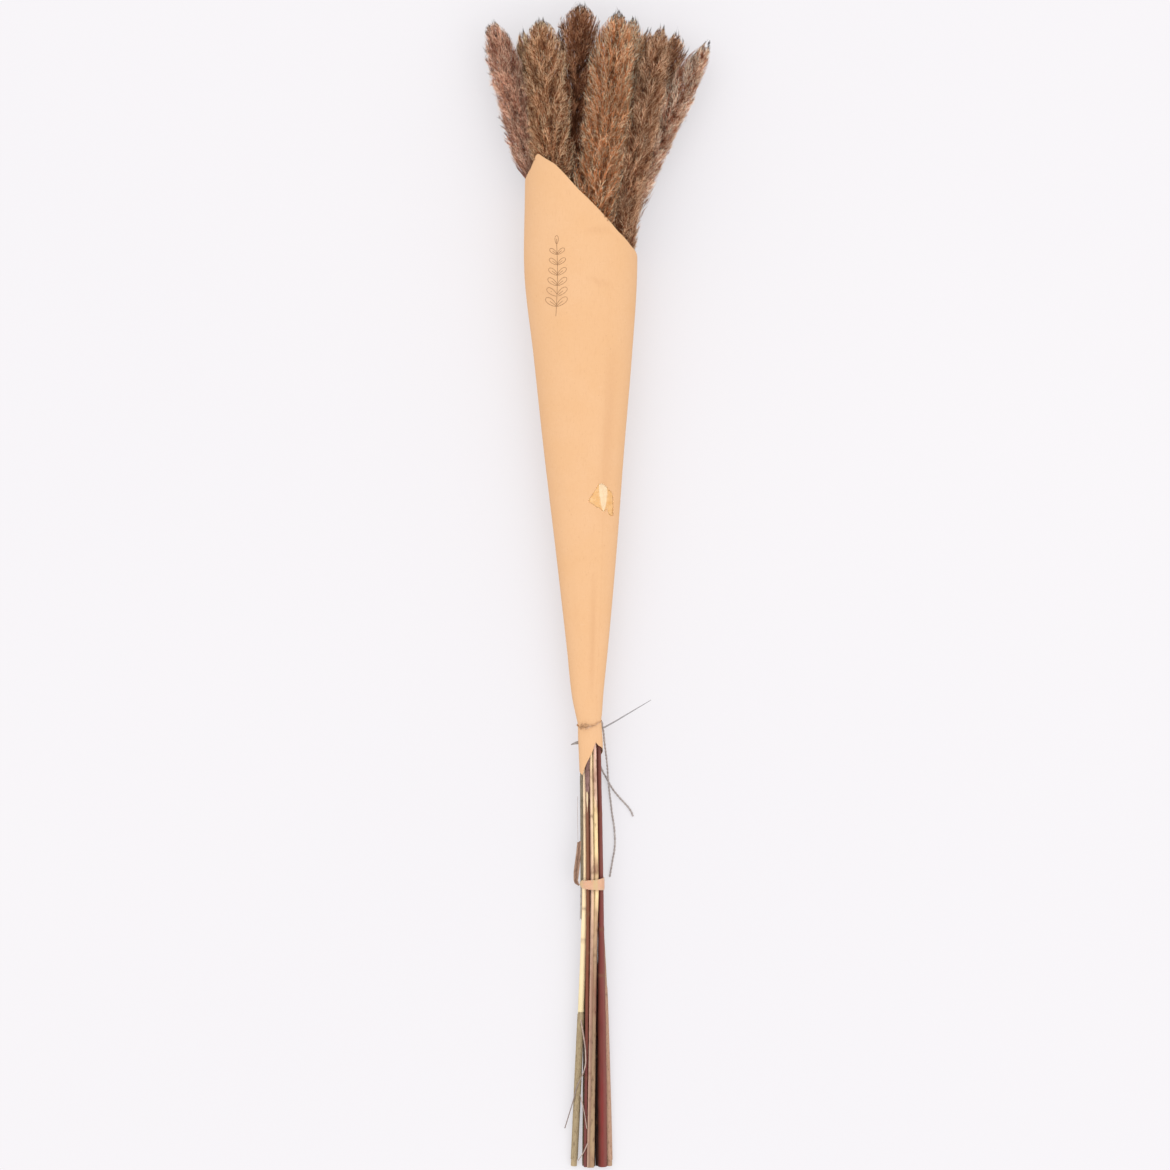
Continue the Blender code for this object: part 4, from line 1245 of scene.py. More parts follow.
    def _add_silk(self, base: Array, heading: Array, drift: Array, scale: Array) -> None:
        """Fine hairs that spread from the spikelets, palest at the head's edge and at their tips: their own
        pale colour, with painted light shining through the thin fringe.

        Args:
            base: Where the spikelets sit.
            heading: Their branchlets' directions.
            drift: Their own shades.
            scale: Size of each one.
        """
        rng = self.rng
        free = self.most_faces - sum(len(f) for f in self.cloud.faces)
        each = free // (len(base) * len(self.spindle.faces))
        base, heading, drift, scale = (np.repeat(v, each, axis=0) for v in (base, heading, drift, scale))
        count = len(base)
        outward = unit(base - self.form.axis(self.reed, base[:, 1]), 1.0)
        turned = unit(heading + 0.25 * outward + rng.normal(0.0, 0.42, (count, 3)))
        size = (rng.uniform(4.0, 11.5, count) * scale)[:, None]
        tip = base + turned * size
        away = np.linalg.norm(tip - self.form.axis(self.reed, tip[:, 1]), axis=1)
        spread = away / np.maximum(self._envelope(self.top - tip[:, 1]), 3.0)
        # Lighter further from the axis: the silk's own pale colour, with painted light shining through the
        # thin fringe
        shade = np.clip(0.26 + 0.54 * spread + rng.normal(0.0, 0.07, count), 0.28, 1.0)
        own = np.clip(drift * 0.85 + rng.uniform(0.0, 0.15, count), 0.0, 1.0)
        tone = (shade - 0.06, np.minimum(shade + 0.16, 1.0))
        self._spindles((base, base + (heading * 0.32 + turned * 0.24) * size, tip),
                       rng.uniform(0.055, 0.1, count), 0.05, tone, own)

    def _keep_in_cell(self) -> Array:
        """The strands' points, kept clear of the other heads, the paper and the surface."""
        points, drift = np.concatenate(self.cloud.points), np.concatenate(self.cloud.drifts)
        y = np.minimum(points[:, 1], CAD_HIGH[1] / MM + 1.5)
        own = self.form.axis(self.reed, y)
        away = (points - own) * np.array([1.0, 0.0, 1.0])
        far = np.linalg.norm(away, axis=1)
        reach = self._envelope(self.top - y) * self._bulge(away[:, 0] / np.maximum(far, 0.1))
        # Lighter tufts (higher drift) reach further out: painted light on the head's edge, over a random tone
        # from tuft to tuft
        limit = np.maximum(reach * (0.76 + 0.3 * drift), 0.8)
        give = limit * 0.46
        eased = limit + give * np.tanh((far - limit) / (2.0 * give))
        share = np.where(far > limit, eased / np.maximum(far, 0.1), 1.0)
        for other in REEDS:
            if other is not self.reed:
                gap = self.form.axis(other, y) - own
                distance = np.linalg.norm(gap, axis=1)
                reach = np.einsum("ij,ij->i", away, gap) / np.maximum(distance, 0.1) * share
                allowed = distance / 2 + 2.5
                over = np.maximum(reach - allowed, 0.0)
                squeezed = share * (allowed + 7.0 * np.tanh(over / 9.0)) / np.maximum(reach, 0.1)
                share = np.where(over > 0.0, squeezed, share)
        kept = own + away * share[:, None]
        kept[:, 1] = y
        centre_x, centre_z, half_width, half_height, squareness = self.form.section(y)
        x, z = kept[:, 0] - centre_x, kept[:, 2] - centre_z
        around = np.arctan2(z, x)
        above = np.maximum(y - mouth_edge(np.degrees(around)) - 3.0, 0.0)
        free = above * (0.6 - 0.22 * np.cos(around) + 0.0014 * above)
        wide, tall = half_width - SLEEVE_WALL - 0.5 + free, half_height - SLEEVE_WALL - 0.5 + free
        full = (np.abs(x) / wide) ** squareness + (np.abs(z) / tall) ** squareness
        pull = np.where(full > 1.0, np.maximum(full, 1e-6) ** (-1.0 / squareness), 1.0)
        kept[:, 0] = np.clip(centre_x + x * pull, CAD_LOW[0] / MM - 1.5, CAD_HIGH[0] / MM + 1.5)
        lowest = np.where(free > 0.0, 0.4, PAPER + 0.6)
        kept[:, 2] = np.clip(centre_z + z * pull, lowest, CAD_HIGH[2] / MM + 0.8)
        return kept


@dataclass
class StemBuilder:
    """One bare stem with its node rings and its hollow cut end.

    Attributes:
        form: The bundle's lines.
        reed: Whose stem it is.
        seed: Seed of its own random numbers.
        sides: Corners of its round section.
        wall: Share of the radius that the wall of the cut end takes up.
        hollow: Depth of its hollow.
    """

    form: BundleForm
    reed: Reed
    seed: int
    sides: int = 18
    wall: float = 0.34
    hollow: float = 5.0

    def build(self) -> Piece:
        """Build the stem, which is returned finished."""
        rng = np.random.default_rng(self.seed)
        ys = [*np.arange(JOIN_Y - GAP / 2, -90.0, -14.0), *np.arange(-90.0, FOOT_Y, -2.2), FOOT_Y]
        rings = (self.reed.ring, *rng.uniform(-470.0, -140.0, 2))
        wave = rng.uniform(0.0, 6.28, 3)
        radii, points = [], []
        for y in ys:
            ring = sum(math.exp(-((y - n) / 1.6) ** 2) for n in rings)
            uneven = 1.0 + 0.02 * math.sin(y * 0.11 + wave[0]) + 0.012 * math.sin(y * 0.43 + wave[1])
            radii.append(self.form.stem_radius(self.reed, y) * (uneven + 0.07 * ring))
            points.append(self.form.stem_axis(self.reed, y))
        bm = bmesh.new()
        cap = grow_tube(bm, points, radii, self.sides)
        bmesh.ops.recalc_face_normals(bm, faces=bm.faces)
        bmesh.ops.inset_region(bm, faces=[cap], thickness=radii[-1] * self.wall, use_even_offset=True)
        bmesh.ops.inset_region(bm, faces=[cap], thickness=0.08, depth=-self.hollow, use_even_offset=True)
        name = "stem_" + self.reed.name
        piece = finish_mesh(bm, "reed_" + name)
        x, y, _ = points_of(piece).T
        table = list(zip(ys[::-1], (p.x for p in points[::-1]), radii[::-1]))
        middle, radius = read(y, table, 1, 2)
        # side runs from left (0) to right (1) across the stem and carries its painted side shade and
        # highlight
        set_attribute(piece, "side", 0.5 + 0.5 * (x - middle) / radius)
        set_attribute(piece, "ring", sum(np.exp(-((y - n) / 1.2) ** 2) for n in rings))
        return dress(piece, self.reed.stem, name)


@dataclass(frozen=True)
class Crease:
    """A soft ridge or dent in the paper along a line on its upper side."""

    start: tuple[float, float]
    end: tuple[float, float]
    width: float
    height: float

    def lift(self, x: Array, y: Array) -> Array:
        """How much it lifts the paper at places on it."""
        a, b = np.array(self.start), np.array(self.end)
        span = b - a
        t = np.clip(((x - a[0]) * span[0] + (y - a[1]) * span[1]) / (span @ span), 0.0, 1.0)
        away = np.hypot(x - a[0] - t * span[0], y - a[1] - t * span[1])
        return self.height * np.exp(-((away / self.width) ** 2)) * np.sin(np.pi * (0.1 + 0.8 * t))


@dataclass
class SleeveBuilder:
    """The rolled kraft paper sleeve.

    Attributes:
        form: The bundle's lines.
        columns: Divisions round it.
        rows: Divisions along it.
        thickness: Thickness of the sheet that is shown.
        creases: Its soft folds.
    """

    form: BundleForm
    columns: int = 216
    rows: int = 110
    thickness: float = 0.1
    creases: tuple[Crease, ...] = (
        Crease((-34.0, 330.0), (-30.0, 180.0), 5.0, 0.45), Crease((-10.0, 299.0), (9.0, 300.5), 2.2, -0.45),
        Crease((-8.0, 259.5), (10.0, 253.0), 2.0, -0.4), Crease((-46.0, 250.0), (-30.0, 243.0), 4.0, -0.4),
        Crease((-40.0, 120.0), (-18.0, 60.0), 4.5, 0.4), Crease((12.0, 200.0), (4.0, 60.0), 5.0, -0.35),
        Crease((-20.0, 20.0), (-12.0, -70.0), 2.6, 0.35), Crease((-4.0, 10.0), (-6.0, -90.0), 2.4, -0.35),
        Crease((5.0, 60.0), (0.0, -60.0), 2.8, 0.3),
    )

    def _offset(self, sweep: Array, y: Array) -> Array:
        """How far outside the outline the sheet's outer face lies."""
        turn = OVERLAP_START - sweep
        cosine = np.cos(np.radians(turn))
        closing = np.clip((sweep - 372.0) / 28.0, 0.0, 1.0)
        right = np.clip(cosine, 0.0, 1.0) * np.clip(1.0 - np.abs(y + 125.0) / 30.0, 0.0, 1.0)
        left = np.clip(-cosine, 0.0, 1.0) * np.clip((-125.0 - y) / 30.0, 0.0, 1.0)
        tie = TIE_Y + twine_sag(turn) + TWINE_TILT * cosine
        pinch = 0.55 * np.exp(-(((y - tie) / 2.4) ** 2))
        plain = -SLEEVE_WALL + PAPER_STEP * sweep / 360.0 + PAPER
        return plain - 0.9 * closing * closing * (3.0 - 2.0 * closing) + 0.6 * right - 0.9 * left - pinch

    def surface(self, sweep: Array, y: Array, lift: float = 0.0) -> Array:
        """Points on the wound sheet.

        Args:
            sweep: How far the sheet has wound, in degrees.
            y: Places along it.
            lift: Height above the sheet's outer face.

        Returns:
            One row of X, Y and Z for each.
        """
        angle = OVERLAP_START - sweep
        points = self.form.outline(y, angle, self._offset(sweep, y) + lift)
        upper = np.clip(np.sin(np.radians(angle)), 0.0, 1.0) ** 0.5
        turn = np.mod(angle, 360.0)
        relief = sum(c.lift(points[..., 0], points[..., 1]) for c in self.creases)
        relief = relief + 0.2 * np.sin(y * 0.045 + turn * 0.06) * np.sin(turn * 0.035 + 1.3)
        points[..., 2] = np.maximum(points[..., 2] + relief * upper, 0.05)
        return points

    def top_points(self, x: Array, y: Array, lift: float) -> Array:
        """Points at X and Y on the upper side of the sheet, at a height above it."""
        centre_x, _, half_width, _, squareness = self.form.section(y)
        sweep = np.full_like(x, 30.0)
        for _ in range(3):
            across = np.clip(np.abs(x - centre_x) / (half_width + self._offset(sweep, y)), 0.0, 1.0)
            angle = np.degrees(np.arccos(np.sign(x - centre_x) * across ** (squareness / 2)))
            sweep = np.mod(OVERLAP_START - angle, 360.0)
            sweep = np.where(sweep <= SWEEP - 360.0, sweep + 360.0, sweep)
        return self.surface(sweep, y, lift)

    def build(self) -> Piece:
        """Build the sleeve, which is returned finished."""
        def place(u: Array, v: Array) -> Array:
            sweep = u * SWEEP
            low, high = read(sweep, LOWER_EDGE, 1)[0], mouth_edge(OVERLAP_START - sweep)
            return self.surface(sweep, low + (high - low) * v)

        piece = sheet_piece("kraft_sleeve", self.columns, self.rows, self.thickness, place)
        x, y, z = points_of(piece).T
        # Painted shade: the crease attribute is 1 in the dents on the paper's upper side
        shaded_dents = sum(np.abs(c.lift(x, y) / c.height) for c in self.creases if c.height < 0.0)
        set_attribute(piece, "crease", np.clip(shaded_dents, 0.0, 1.0) * (z > self.form.section(y)[1]))
        return dress(piece, KraftFinish(), "paper_sleeve")


@dataclass
class SprigBuilder:
    """A plain printed sprig: an upright stalk with pairs of oval leaves in thin lines.

    Attributes:
        sleeve: What it is printed on.
        foot: X and Y of the stalk's lower end.
        height: Its height.
        pairs: Pairs of leaves.
        line: Width of the lines.
    """

    sleeve: SleeveBuilder
    foot: tuple[float, float] = (-36.0, 228.0)
    height: float = 60.0
    pairs: int = 6
    line: float = 0.42

    def _draw(self, bm: bmesh.types.BMesh, route: Array) -> None:
        """Lay one line of ink on the paper, along X and Y of its points."""
        ahead = unit(np.gradient(route, axis=0))
        table = np.column_stack([np.arange(len(route)), route, ahead])

        def place(u: Array, v: Array) -> Array:
            x, y, side_x, side_y = read(u * (len(route) - 1), table, 1, 2, 3, 4)
            half = self.line * (v - 0.5)
            return self.sleeve.top_points(x - side_y * half, y + side_x * half, 0.06)

        lay_sheet(bm, len(route) - 1, 1, 0.04, place)

    def _stalk(self, rise: Array) -> Array:
        """X and Y of the swaying stalk at shares of its height."""
        return np.stack([self.foot[0] + 1.4 * np.sin(rise * 2.6), self.foot[1] + self.height * rise], axis=-1)

    def build(self) -> Piece:
        """Build the print, which is returned finished."""
        bm = bmesh.new()
        self._draw(bm, self._stalk(np.linspace(0.0, 1.0, 22)))
        turn = np.linspace(0.0, 2.0 * math.pi, 17)
        for i in range(self.pairs + 1):
            at = 0.14 + 0.86 * i / self.pairs
            length, root = blend(12.0, 7.0, at), self._stalk(np.array(at))
            for side in (-1.0, 1.0) if i < self.pairs else (0.0,):
                lean = side * math.radians(52.0)
                along = np.array([math.sin(lean), math.cos(lean)])
                across = np.array([math.cos(lean), -math.sin(lean)])
                reach = length * (1.0 - np.cos(turn)) / 2.0
                bulge = length * 0.2 * np.sin(turn) * (1.0 - 0.3 * np.cos(turn))
                self._draw(bm, root + reach[:, None] * along + bulge[:, None] * across)
                self._draw(bm, root + np.linspace(0.0, 0.62, 5)[:, None] * length * along)
        piece = finish_mesh(bm, "printed_sprig", smooth=False)
        return dress(piece, InkFinish())


@dataclass
class TapeBuilder:
    """The crumpled piece of clear tape over the paper's overlap.

    Attributes:
        sleeve: What it holds shut.
        stations: X, lower Y and upper Y of its ragged outline.
        ridge: Y of places up its pale raised crease, with that crease's left and right X.
    """

    sleeve: SleeveBuilder
    stations: tuple[tuple[float, float, float], ...] = (
        (-8.9, 72.6, 74.6), (-5.2, 70.6, 80.0), (-1.6, 67.6, 85.6), (-0.4, 67.6, 88.4), (2.0, 66.0, 88.8),
        (4.1, 63.9, 88.2), (7.2, 66.5, 85.6), (8.2, 62.5, 83.4), (10.4, 60.8, 82.6), (12.6, 61.4, 77.4),
    )
    ridge: tuple[tuple[float, float, float], ...] = (
        (64.0, 3.9, 4.3), (70.0, 1.6, 6.4), (80.0, 0.0, 7.7), (85.0, -0.3, 7.4), (88.8, 0.0, 5.4),
    )

    def _raised(self, x: Array, y: Array) -> Array:
        """1 on the raised crease and 0 off it."""
        left, right = read(y, self.ridge, 1, 2)
        return np.clip(np.minimum(x - left, right - x) / 0.7, 0.0, 1.0)

    def build(self) -> Piece:
        """Build the tape, which is returned finished."""
        first, last = self.stations[0][0], self.stations[-1][0]

        def place(u: Array, v: Array) -> Array:
            x = first + (last - first) * u
            low, high = read(x, self.stations, 1, 2)
            y = low + (high - low) * v
            points = self.sleeve.top_points(x, y, 0.05)
            crumple = 0.04 * np.sin(x * 1.9 + y * 0.7) * np.sin(y * 0.45)
            points[:, 2] += 0.3 * self._raised(x, y) + crumple + 0.05
            return points

        piece = sheet_piece("tape_strip", 64, 40, 0.06, place)
        x, y, _ = points_of(piece).T
        low, high = read(x, self.stations, 1, 2)
        edge = np.min([y - low, high - y, x - first, last - x], axis=0)
        set_attribute(piece, "crease", self._raised(x, y))
        set_attribute(piece, "fade", np.clip(edge / 1.6, 0.0, 1.0))
        return dress(piece, TapeFinish(), "clear_tape")


@dataclass
class TwineBuilder:
    """The twine: a tie round the neck and its two loose ends, twisted from two plies.

    Attributes:
        form: The bundle's lines.
        ply: Radius of one ply.
        pitch: Length of a full twist.
        step: Distance between the rings of the mesh.
        lowest: Lowest Z that a loose fibre reaches.
    """

    form: BundleForm
    ply: float = 0.5
    pitch: float = 6.4
    step: float = 0.7
    lowest: float = 0.1

    def _plies(self, bm: bmesh.types.BMesh, route: Sequence[Vector], ply: float) -> None:
        """Wind two plies of a radius round the twine's line."""
        frames = frames_along(smooth_route(route, self.step))
        for start in (0.0, math.pi):
            line = []
            for i, turn in enumerate(frames):
                angle = start + 2.0 * math.pi * i * self.step / self.pitch
                line.append(turn @ (Vector((math.cos(angle), math.sin(angle), 0.0)) * ply * 0.8))
            radii = [ply * (1.0 + 0.07 * math.sin(i * 0.9 + start)) for i in range(len(line))]
            radii[0] = radii[-1] = ply * 0.7
            grow_tube(bm, line, radii, 7)

    def _fibres(self, bm: bmesh.types.BMesh, route: Sequence[Vector], seed: int, count: int) -> None:
        """Make a number of short loose fibres that stand off the twine's line."""
        rng = np.random.default_rng(seed)
        points = smooth_route(route, 1.0)
        for _ in range(count):
            i = int(rng.integers(1, len(points) - 1))
            along = (points[i + 1] - points[i - 1]).normalized()
            away = Vector(rng.normal(0.0, 1.0, 3)).cross(along).normalized()
            start = points[i] + away * self.ply * 1.2
            end = start + along * float(rng.uniform(-2.0, 2.0)) + away * float(rng.uniform(0.3, 0.9))
            line = [start, (start + end) / 2 + away * 0.2, end]
            for point in line:
                point.z = max(point.z, self.lowest)
            grow_tube(bm, line, [0.07, 0.06, 0.03], 3)

    def build_end(self, name: str, node: str, angle: float, route: Sequence[tuple]) -> Piece:
        """Build a loose end, from the tie down to the surface.

        Args:
            name: The piece's name.
            node: The CAD node that it stands for.
            angle: Where round the neck it starts.
            route: Its points.

        Returns:
            The finished piece.
        """
        sag = float(twine_sag(angle))
        start = self.form.twine_point(angle, sag, -0.4) - Vector((0.0, TWINE_RADIUS, 0.0))
        points = smooth_route((start, start - Vector((0.0, 1.5, 0.0)), *route), CORD_SPACING)
        bm = bmesh.new()
        self._plies(bm, points, self.ply)
        self._fibres(bm, points, len(route), 70)
        piece = finish_mesh(bm, name)
        finish = JuteFinish(name + "_jute", (0.44, 0.39, 0.365), (0.28, 0.24, 0.225), (0.54, 0.49, 0.465))
        dress(piece, finish, node)
        return piece

    def build_tie(self) -> Piece:
        """Build the turn round the neck with its knot on top, which is returned finished."""
        bm = bmesh.new()
        turns = np.linspace(0.0, 360.0, 27)
        ring = [self.form.twine_point(turn, sag, -1.15) for turn, sag in zip(turns, twine_sag(turns))]
        self._plies(bm, ring, 0.28)
        for strand in KNOT_STRANDS:
            line = [self.form.twine_point(angle, shift + 0.3, lift - 0.5) for angle, shift, lift in strand]
            self._plies(bm, line, 0.22)
        self._fibres(bm, ring, 5, 60)
        piece = finish_mesh(bm, "twine_wrap")
        finish = JuteFinish("tie_jute", (0.50, 0.30, 0.165), (0.34, 0.19, 0.10), (0.70, 0.48, 0.34))
        return dress(piece, finish, "twine_tie")


@dataclass
class BandBuilder:
    """The flat rubber band round the bare stems, wide on the right and narrow on the left.

    Attributes:
        form: The bundle's lines.
        half_size: Half its inner width and height.
        squareness: How square it is round the stems.
        thickness: Its thickness.
        width: Its mean width along the stems.
        change: How much the width changes from left to right.
        stains: X and half width of its yellowed stretches.
        steps: Divisions round it.
    """

    form: BundleForm
    half_size: tuple[float, float] = (9.6, 7.15)
    squareness: float = 2.7
    thickness: float = 1.0
    width: float = 8.2
    change: float = 2.4
    stains: tuple[tuple[float, float], ...] = ((-15.6, 2.4), (-2.7, 2.2))
    steps: int = 120

    def build(self) -> Piece:
        """Build the band, which is returned finished."""
        centre_x, centre_z = (float(v) for v in self.form.section(np.array(BAND_Y))[:2])

        def place(u: Array, v: Array) -> Array:
            c, s = np.cos(2.0 * math.pi * u), np.sin(2.0 * math.pi * u)
            across = v - 0.5
            wide = self.width + self.change * c - 2.4 * np.clip((-c - 0.8) / 0.2, 0.0, 1.0)
            ripple = 0.14 * np.sin(u * 56.0 + across * 6.0) * np.maximum(0.0, -c)
            lift = self.thickness - 0.15 + 0.12 * (1.0 - (2 * across) ** 4) + ripple
            x = centre_x + (self.half_size[0] + lift) * np.sign(c) * np.abs(c) ** (2 / self.squareness)
            z = centre_z + (self.half_size[1] + lift) * np.sign(s) * np.abs(s) ** (2 / self.squareness)
            return np.stack([x, BAND_Y + 1.3 + across * wide + 0.25 * np.sin(6.0 * math.pi * u), z], axis=1)

        bm = bmesh.new()
        lay_sheet(bm, self.steps, 10, 0.0, place)
        bmesh.ops.remove_doubles(bm, verts=bm.verts, dist=1e-4)
        piece = finish_mesh(bm, "rubber_ring")
        x = points_of(piece)[:, 0]
        stains = sum(np.exp(-((x - middle) / half) ** 4) for middle, half in self.stains)
        set_attribute(piece, "stain", np.clip(stains, 0.0, 1.0))
        return dress(piece, RubberFinish(), "rubber_band")


class LeafTint(Enum):
    """The dry scraps' colours."""

    KHAKI = DryLeafFinish("sheath_khaki", (0.38, 0.30, 0.18), (0.26, 0.19, 0.11))
    MAUVE = DryLeafFinish("sheath_mauve", (0.28, 0.17, 0.15), (0.13, 0.06, 0.05))
    CREAM = DryLeafFinish("sheath_cream", (0.72, 0.58, 0.38), (0.50, 0.36, 0.21))
    OLIVE = DryLeafFinish("sheath_olive", (0.25, 0.21, 0.145), (0.10, 0.075, 0.045))
    ROSE = DryLeafFinish("sheath_rose", (0.44, 0.27, 0.19), (0.32, 0.19, 0.12))
    BROWN = DryLeafFinish("leaf_brown", (0.50, 0.33, 0.235), (0.16, 0.085, 0.055))
    GREY = DryLeafFinish("blade_grey", (0.34, 0.325, 0.325), (0.22, 0.21, 0.21))
    STUB = DryLeafFinish("stub_grey", (0.36, 0.33, 0.31), (0.17, 0.15, 0.14))
    PALE = DryLeafFinish("shred_pale", (0.60, 0.43, 0.35), (0.21, 0.17, 0.155))
    MIST = DryLeafFinish("strip_grey", (0.42, 0.38, 0.34), (0.24, 0.20, 0.165))


@dataclass(frozen=True)
class Sheath:
    """A dry leaf sheath that clings to a stem.

    Attributes:
        reed: Index of the reed.
        stations: Y and half the angle that it covers there, in degrees.
        facing: Angle round the stem that it faces, in degrees from +X.
        lift: How far it stands off the stem.
        tint: Its colours.
    """

    reed: int
    stations: tuple[tuple[float, float], ...]
    facing: float
    lift: float
    tint: LeafTint


SHEATHS = (
    Sheath(0, ((-489.0, 160.0), (-430.0, 165.0), (-364.0, 165.0), (-361.5, 60.0)), 90.0, 0.42,
           LeafTint.KHAKI),
    Sheath(2, ((-173.0, 40.0), (-168.0, 95.0), (-150.0, 110.0), (-140.0, 100.0)), 80.0, 0.50, LeafTint.MAUVE),
    Sheath(2, ((-189.5, 3.0), (-180.0, 24.0), (-171.0, 30.0), (-164.0, 30.0)), 96.0, 0.28, LeafTint.CREAM),
    Sheath(0, ((-249.0, 60.0), (-236.0, 64.0), (-160.0, 64.0), (-152.0, 62.0)), 178.0, 1.1, LeafTint.OLIVE),
    Sheath(0, ((-282.0, 20.0), (-276.0, 24.0), (-166.0, 24.0), (-160.0, 22.0)), 190.0, 1.45, LeafTint.MIST),
    Sheath(8, ((-489.0, 130.0), (-420.0, 130.0), (-343.0, 120.0), (-338.0, 40.0)), 75.0, 0.42, LeafTint.ROSE),
)

# The hanging leaf: Y, X, Z and half width
LEAF_STATIONS = (
    (-253.2, -16.6, 13.6, 0.6), (-251.6, -18.6, 13.9, 1.7), (-249.0, -19.4, 14.3, 1.9),
    (-242.0, -19.0, 15.1, 2.4), (-233.6, -18.0, 16.2, 2.3), (-223.8, -17.0, 17.2, 2.0),
    (-215.4, -16.5, 18.0, 1.7),
)

# The rod-like scraps: name, first and last radius, flatness, tint, node, slot, spacing and route
RODS = (
    ("grey_blade", 0.8, 0.26, 0.9, LeafTint.GREY, "dry_blade", "", 2.0,
     ((3.5, -118.9, 19.5), (12.0, -114.2, 20.5), (23.0, -107.6, 21.8), (34.0, -101.0, 22.8),
      (44.5, -94.7, 23.4))),
    ("grey_stub", 0.85, 0.22, 1.9, LeafTint.STUB, "leaf_stub", "", 0.5,
     ((-16.6, -131.0, 18.6), (-19.4, -131.5, 19.1), (-23.6, -132.9, 19.3))),
    ("shred_1", 0.56, 0.42, 1.0, LeafTint.PALE, "", "stem_01", 1.5,
     ((-15.8, -362.0, 10.6), (-14.6, -371.0, 14.0), (-12.6, -383.0, 16.4), (-11.2, -395.5, 16.6),
      (-11.6, -408.0, 15.8), (-13.9, -415.0, 14.6), (-18.0, -424.0, 12.0), (-21.5, -437.0, 9.4),
      (-25.7, -451.5, 6.0), (-28.9, -462.3, 3.6))),
    ("shred_2", 0.42, 0.3, 1.0, LeafTint.PALE, "", "stem_01", 1.5,
     ((-15.9, -432.0, 10.2), (-13.6, -441.0, 11.6), (-11.4, -452.0, 12.4), (-10.1, -461.0, 12.8))),
    ("shred_3", 0.5, 0.3, 1.0, LeafTint.PALE, "", "stem_01", 1.5,
     ((-9.4, -473.5, 13.4), (-13.0, -482.0, 10.4), (-17.6, -489.8, 5.6))),
    ("shred_4", 0.14, 0.12, 1.0, LeafTint.PALE, "", "stem_01", 1.5,
     ((-17.8, -177.0, 17.4), (-17.9, -195.0, 17.2), (-17.6, -215.0, 17.4))),
)


@dataclass
class DryScraps:
    """What is left of the leaves: sheaths, a hanging leaf, a blade, a stub and curled shreds.

    Attributes:
        form: The bundle's lines.
    """

    form: BundleForm

    def build(self) -> None:
        """Build every scrap."""
        for number, sheath in enumerate(SHEATHS):
            self._sheath(f"sheath_{number + 1}", sheath)
        self._leaf()
        for rod in RODS:
            self._rod(*rod)

    def _sheath(self, name: str, sheath: Sheath) -> None:
        """Wrap one sheath on its stem."""
        reed, first, last = REEDS[sheath.reed], sheath.stations[0][0], sheath.stations[-1][0]

        def place(u: Array, v: Array) -> Array:
            y = first + (last - first) * u
            across = 2.0 * v - 1.0
            angle = np.radians(sheath.facing + read(y, sheath.stations, 1)[0] * across)
            lift = 0.18 + (sheath.lift - 0.18) * (1.0 - across ** 4) + 0.06 * np.sin(angle * 5.0 + y * 0.05)
            y = y + 1.6 * np.sin(v * 17.0) * np.sin(v * 7.0 + 1.0) * (u < 0.001)
            middle = np.array([self.form.stem_axis(reed, float(k)) for k in y])
            radius = np.array([self.form.stem_radius(reed, float(k)) for k in y]) + lift
            middle[:, 0] += np.cos(angle) * radius
            middle[:, 2] = np.maximum(middle[:, 2] + np.sin(angle) * radius, 0.3)
            return middle

        piece = sheet_piece(name, max(int((last - first) / 2.0), 8), 14, 0.16, place)
        dress(piece, sheath.tint.value)

    def _leaf(self) -> None:
        """Hang the brown leaf beside the stems above the band."""
        first, last = LEAF_STATIONS[0][0], LEAF_STATIONS[-1][0]

        def place(u: Array, v: Array) -> Array:
            y = first + (last - first) * u
            x, z, half = read(y, LEAF_STATIONS, 1, 2, 3)
            across = 2.0 * v - 1.0
            fold = 0.9 * np.abs(across) - 0.45 * (1.0 + across)
            lengthways = y + 0.5 * np.sin(across * 3.0)
            return np.stack([x + across * half, lengthways, z + fold * half / 2.2], axis=1)

        piece = sheet_piece("brown_leaf", 40, 12, 0.25, place)
        x, y, _ = points_of(piece).T
        middle, half = read(y, LEAF_STATIONS, 1, 3)
        set_attribute(piece, "crease", np.exp(-(((x - middle) / half - 0.05) / 0.42) ** 2))
        dress(piece, LeafTint.BROWN.value, "loose_leaf")

    def _rod(self, name: str, wide: float, thin: float, flat: float, tint: LeafTint, node: str, slot: str,
             spacing: float, route: Sequence[tuple]) -> None:
        """Grow one thin scrap, its parts as in RODS; the longest shred turns grey half way."""
        line = smooth_route(route, spacing)
        bm = bmesh.new()
        grow_tube(bm, line, np.linspace(wide, thin, len(line)), 10, flat)
        piece = finish_mesh(bm, name)
        share = (points_of(piece)[:, 1] - line[0].y) / (line[-1].y - line[0].y)
        set_attribute(piece, "crease", np.clip((share - 0.45) / 0.12, 0.0, 1.0) * (name == "shred_1"))
        dress(piece, tint.value, node)


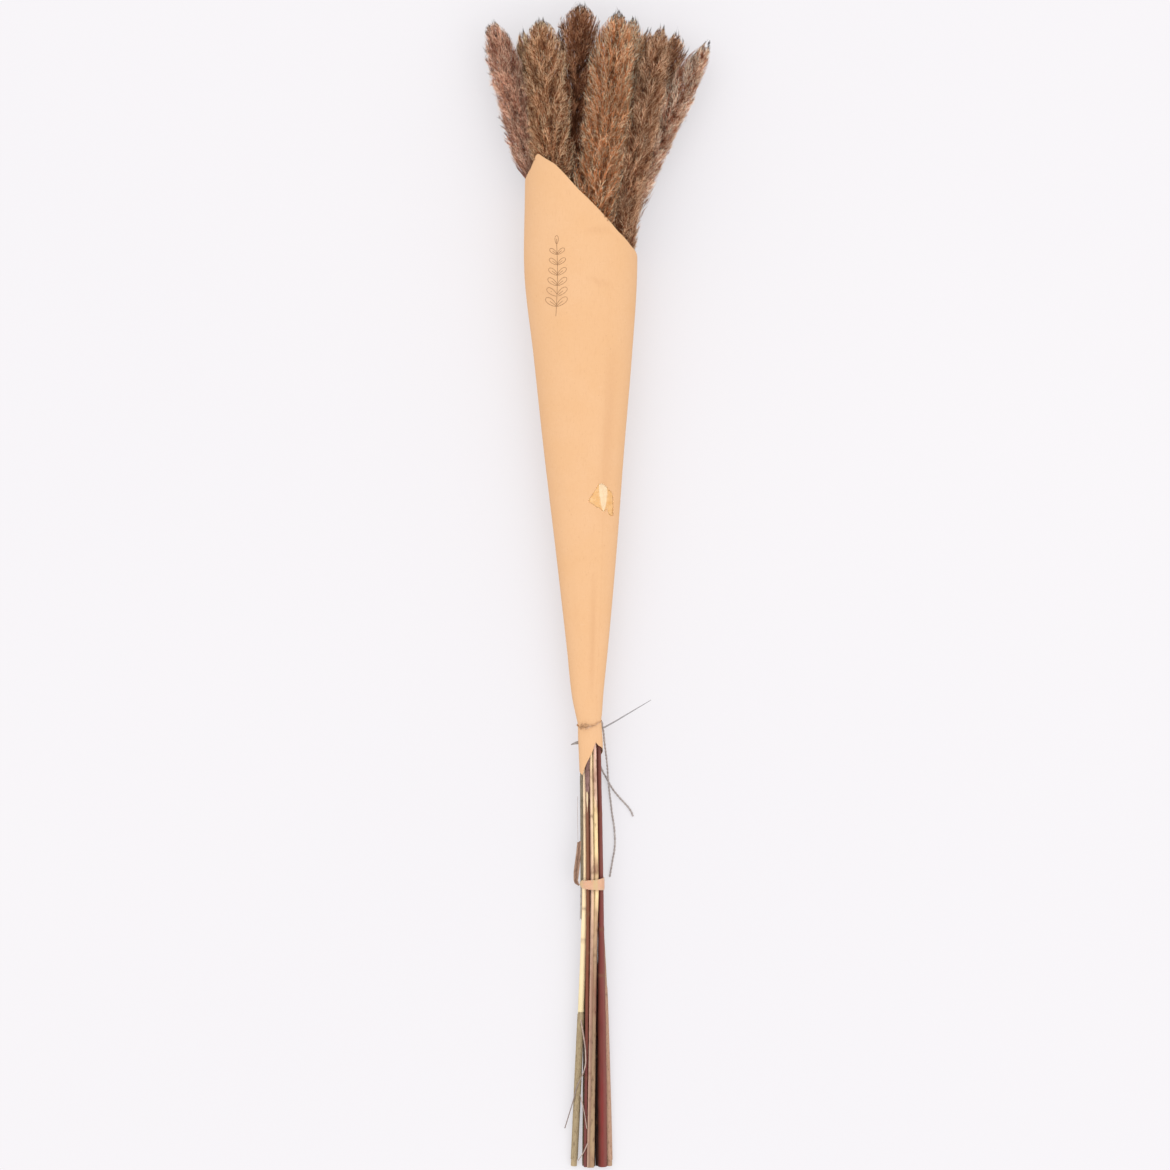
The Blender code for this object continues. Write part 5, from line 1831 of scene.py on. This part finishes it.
class Studio:
    """The camera, the pale surface and the soft light."""

    CAMERA_PLACE = (-0.0116, 0.003, 2.37)
    CAMERA_LENS = 84.99
    LIGHT_SIZE = 2.4
    LIGHTS = (("key", (-1.7, 0.8, 2.8), 9.5), ("fill", (1.7, -0.6, 2.6), 14.0))
    SKY = ((1.0, 0.992, 1.0, 1.0), 1.34)

    def camera(self) -> None:
        """Put the camera straight above the bundle."""
        data = bpy.data.cameras.new("camera")
        data.lens, data.sensor_width, data.clip_end = self.CAMERA_LENS, 36.0, 50.0
        made = link("camera", data)
        made.location = self.CAMERA_PLACE
        bpy.context.scene.camera = made

    def surface(self) -> None:
        """Lay out the pale surface that the bundle lies on."""
        bm = bmesh.new()
        bmesh.ops.create_grid(bm, x_segments=1, y_segments=1, size=9000.0)
        made = finish_mesh(bm, "surface", smooth=False)
        made.data.materials.append(SurfaceFinish().material())

    def light(self) -> None:
        """Light it evenly, a little stronger from the upper left."""
        world = bpy.data.worlds.new("world")
        world.use_nodes = True
        background = world.node_tree.nodes["Background"].inputs
        background["Color"].default_value, background["Strength"].default_value = self.SKY
        bpy.context.scene.world = world
        for name, place, power in self.LIGHTS:
            data = bpy.data.lights.new(name, "AREA")
            data.size, data.energy = self.LIGHT_SIZE, power
            lamp = link(name, data)
            lamp.location = place
            lamp.rotation_euler = (-Vector(place)).to_track_quat("-Z", "Y").to_euler()
        bpy.context.scene.view_settings.view_transform = "Standard"


def main() -> None:
    """Build the whole scene."""
    logging.basicConfig(level=logging.INFO, format="%(name)s %(message)s")
    form = BundleForm()
    studio = Studio()
    studio.camera()
    twine = TwineBuilder(form)
    twine.build_end("twine_tail_long", "twine_end_long", -12.0, LONG_END_ROUTE)
    twine.build_end("twine_tail_short", "twine_end_short", -80.0, SHORT_END_ROUTE)
    twine.build_tie()
    sleeve = SleeveBuilder(form)
    sleeve.build()
    SprigBuilder(sleeve).build()
    TapeBuilder(sleeve).build()
    BandBuilder(form).build()
    DryScraps(form).build()
    for number, reed in enumerate(REEDS):
        StemBuilder(form, reed, 100 + number).build()
        PlumeBuilder(form, reed, 200 + number).build()
    studio.surface()
    studio.light()


if __name__ == "__main__":
    main()
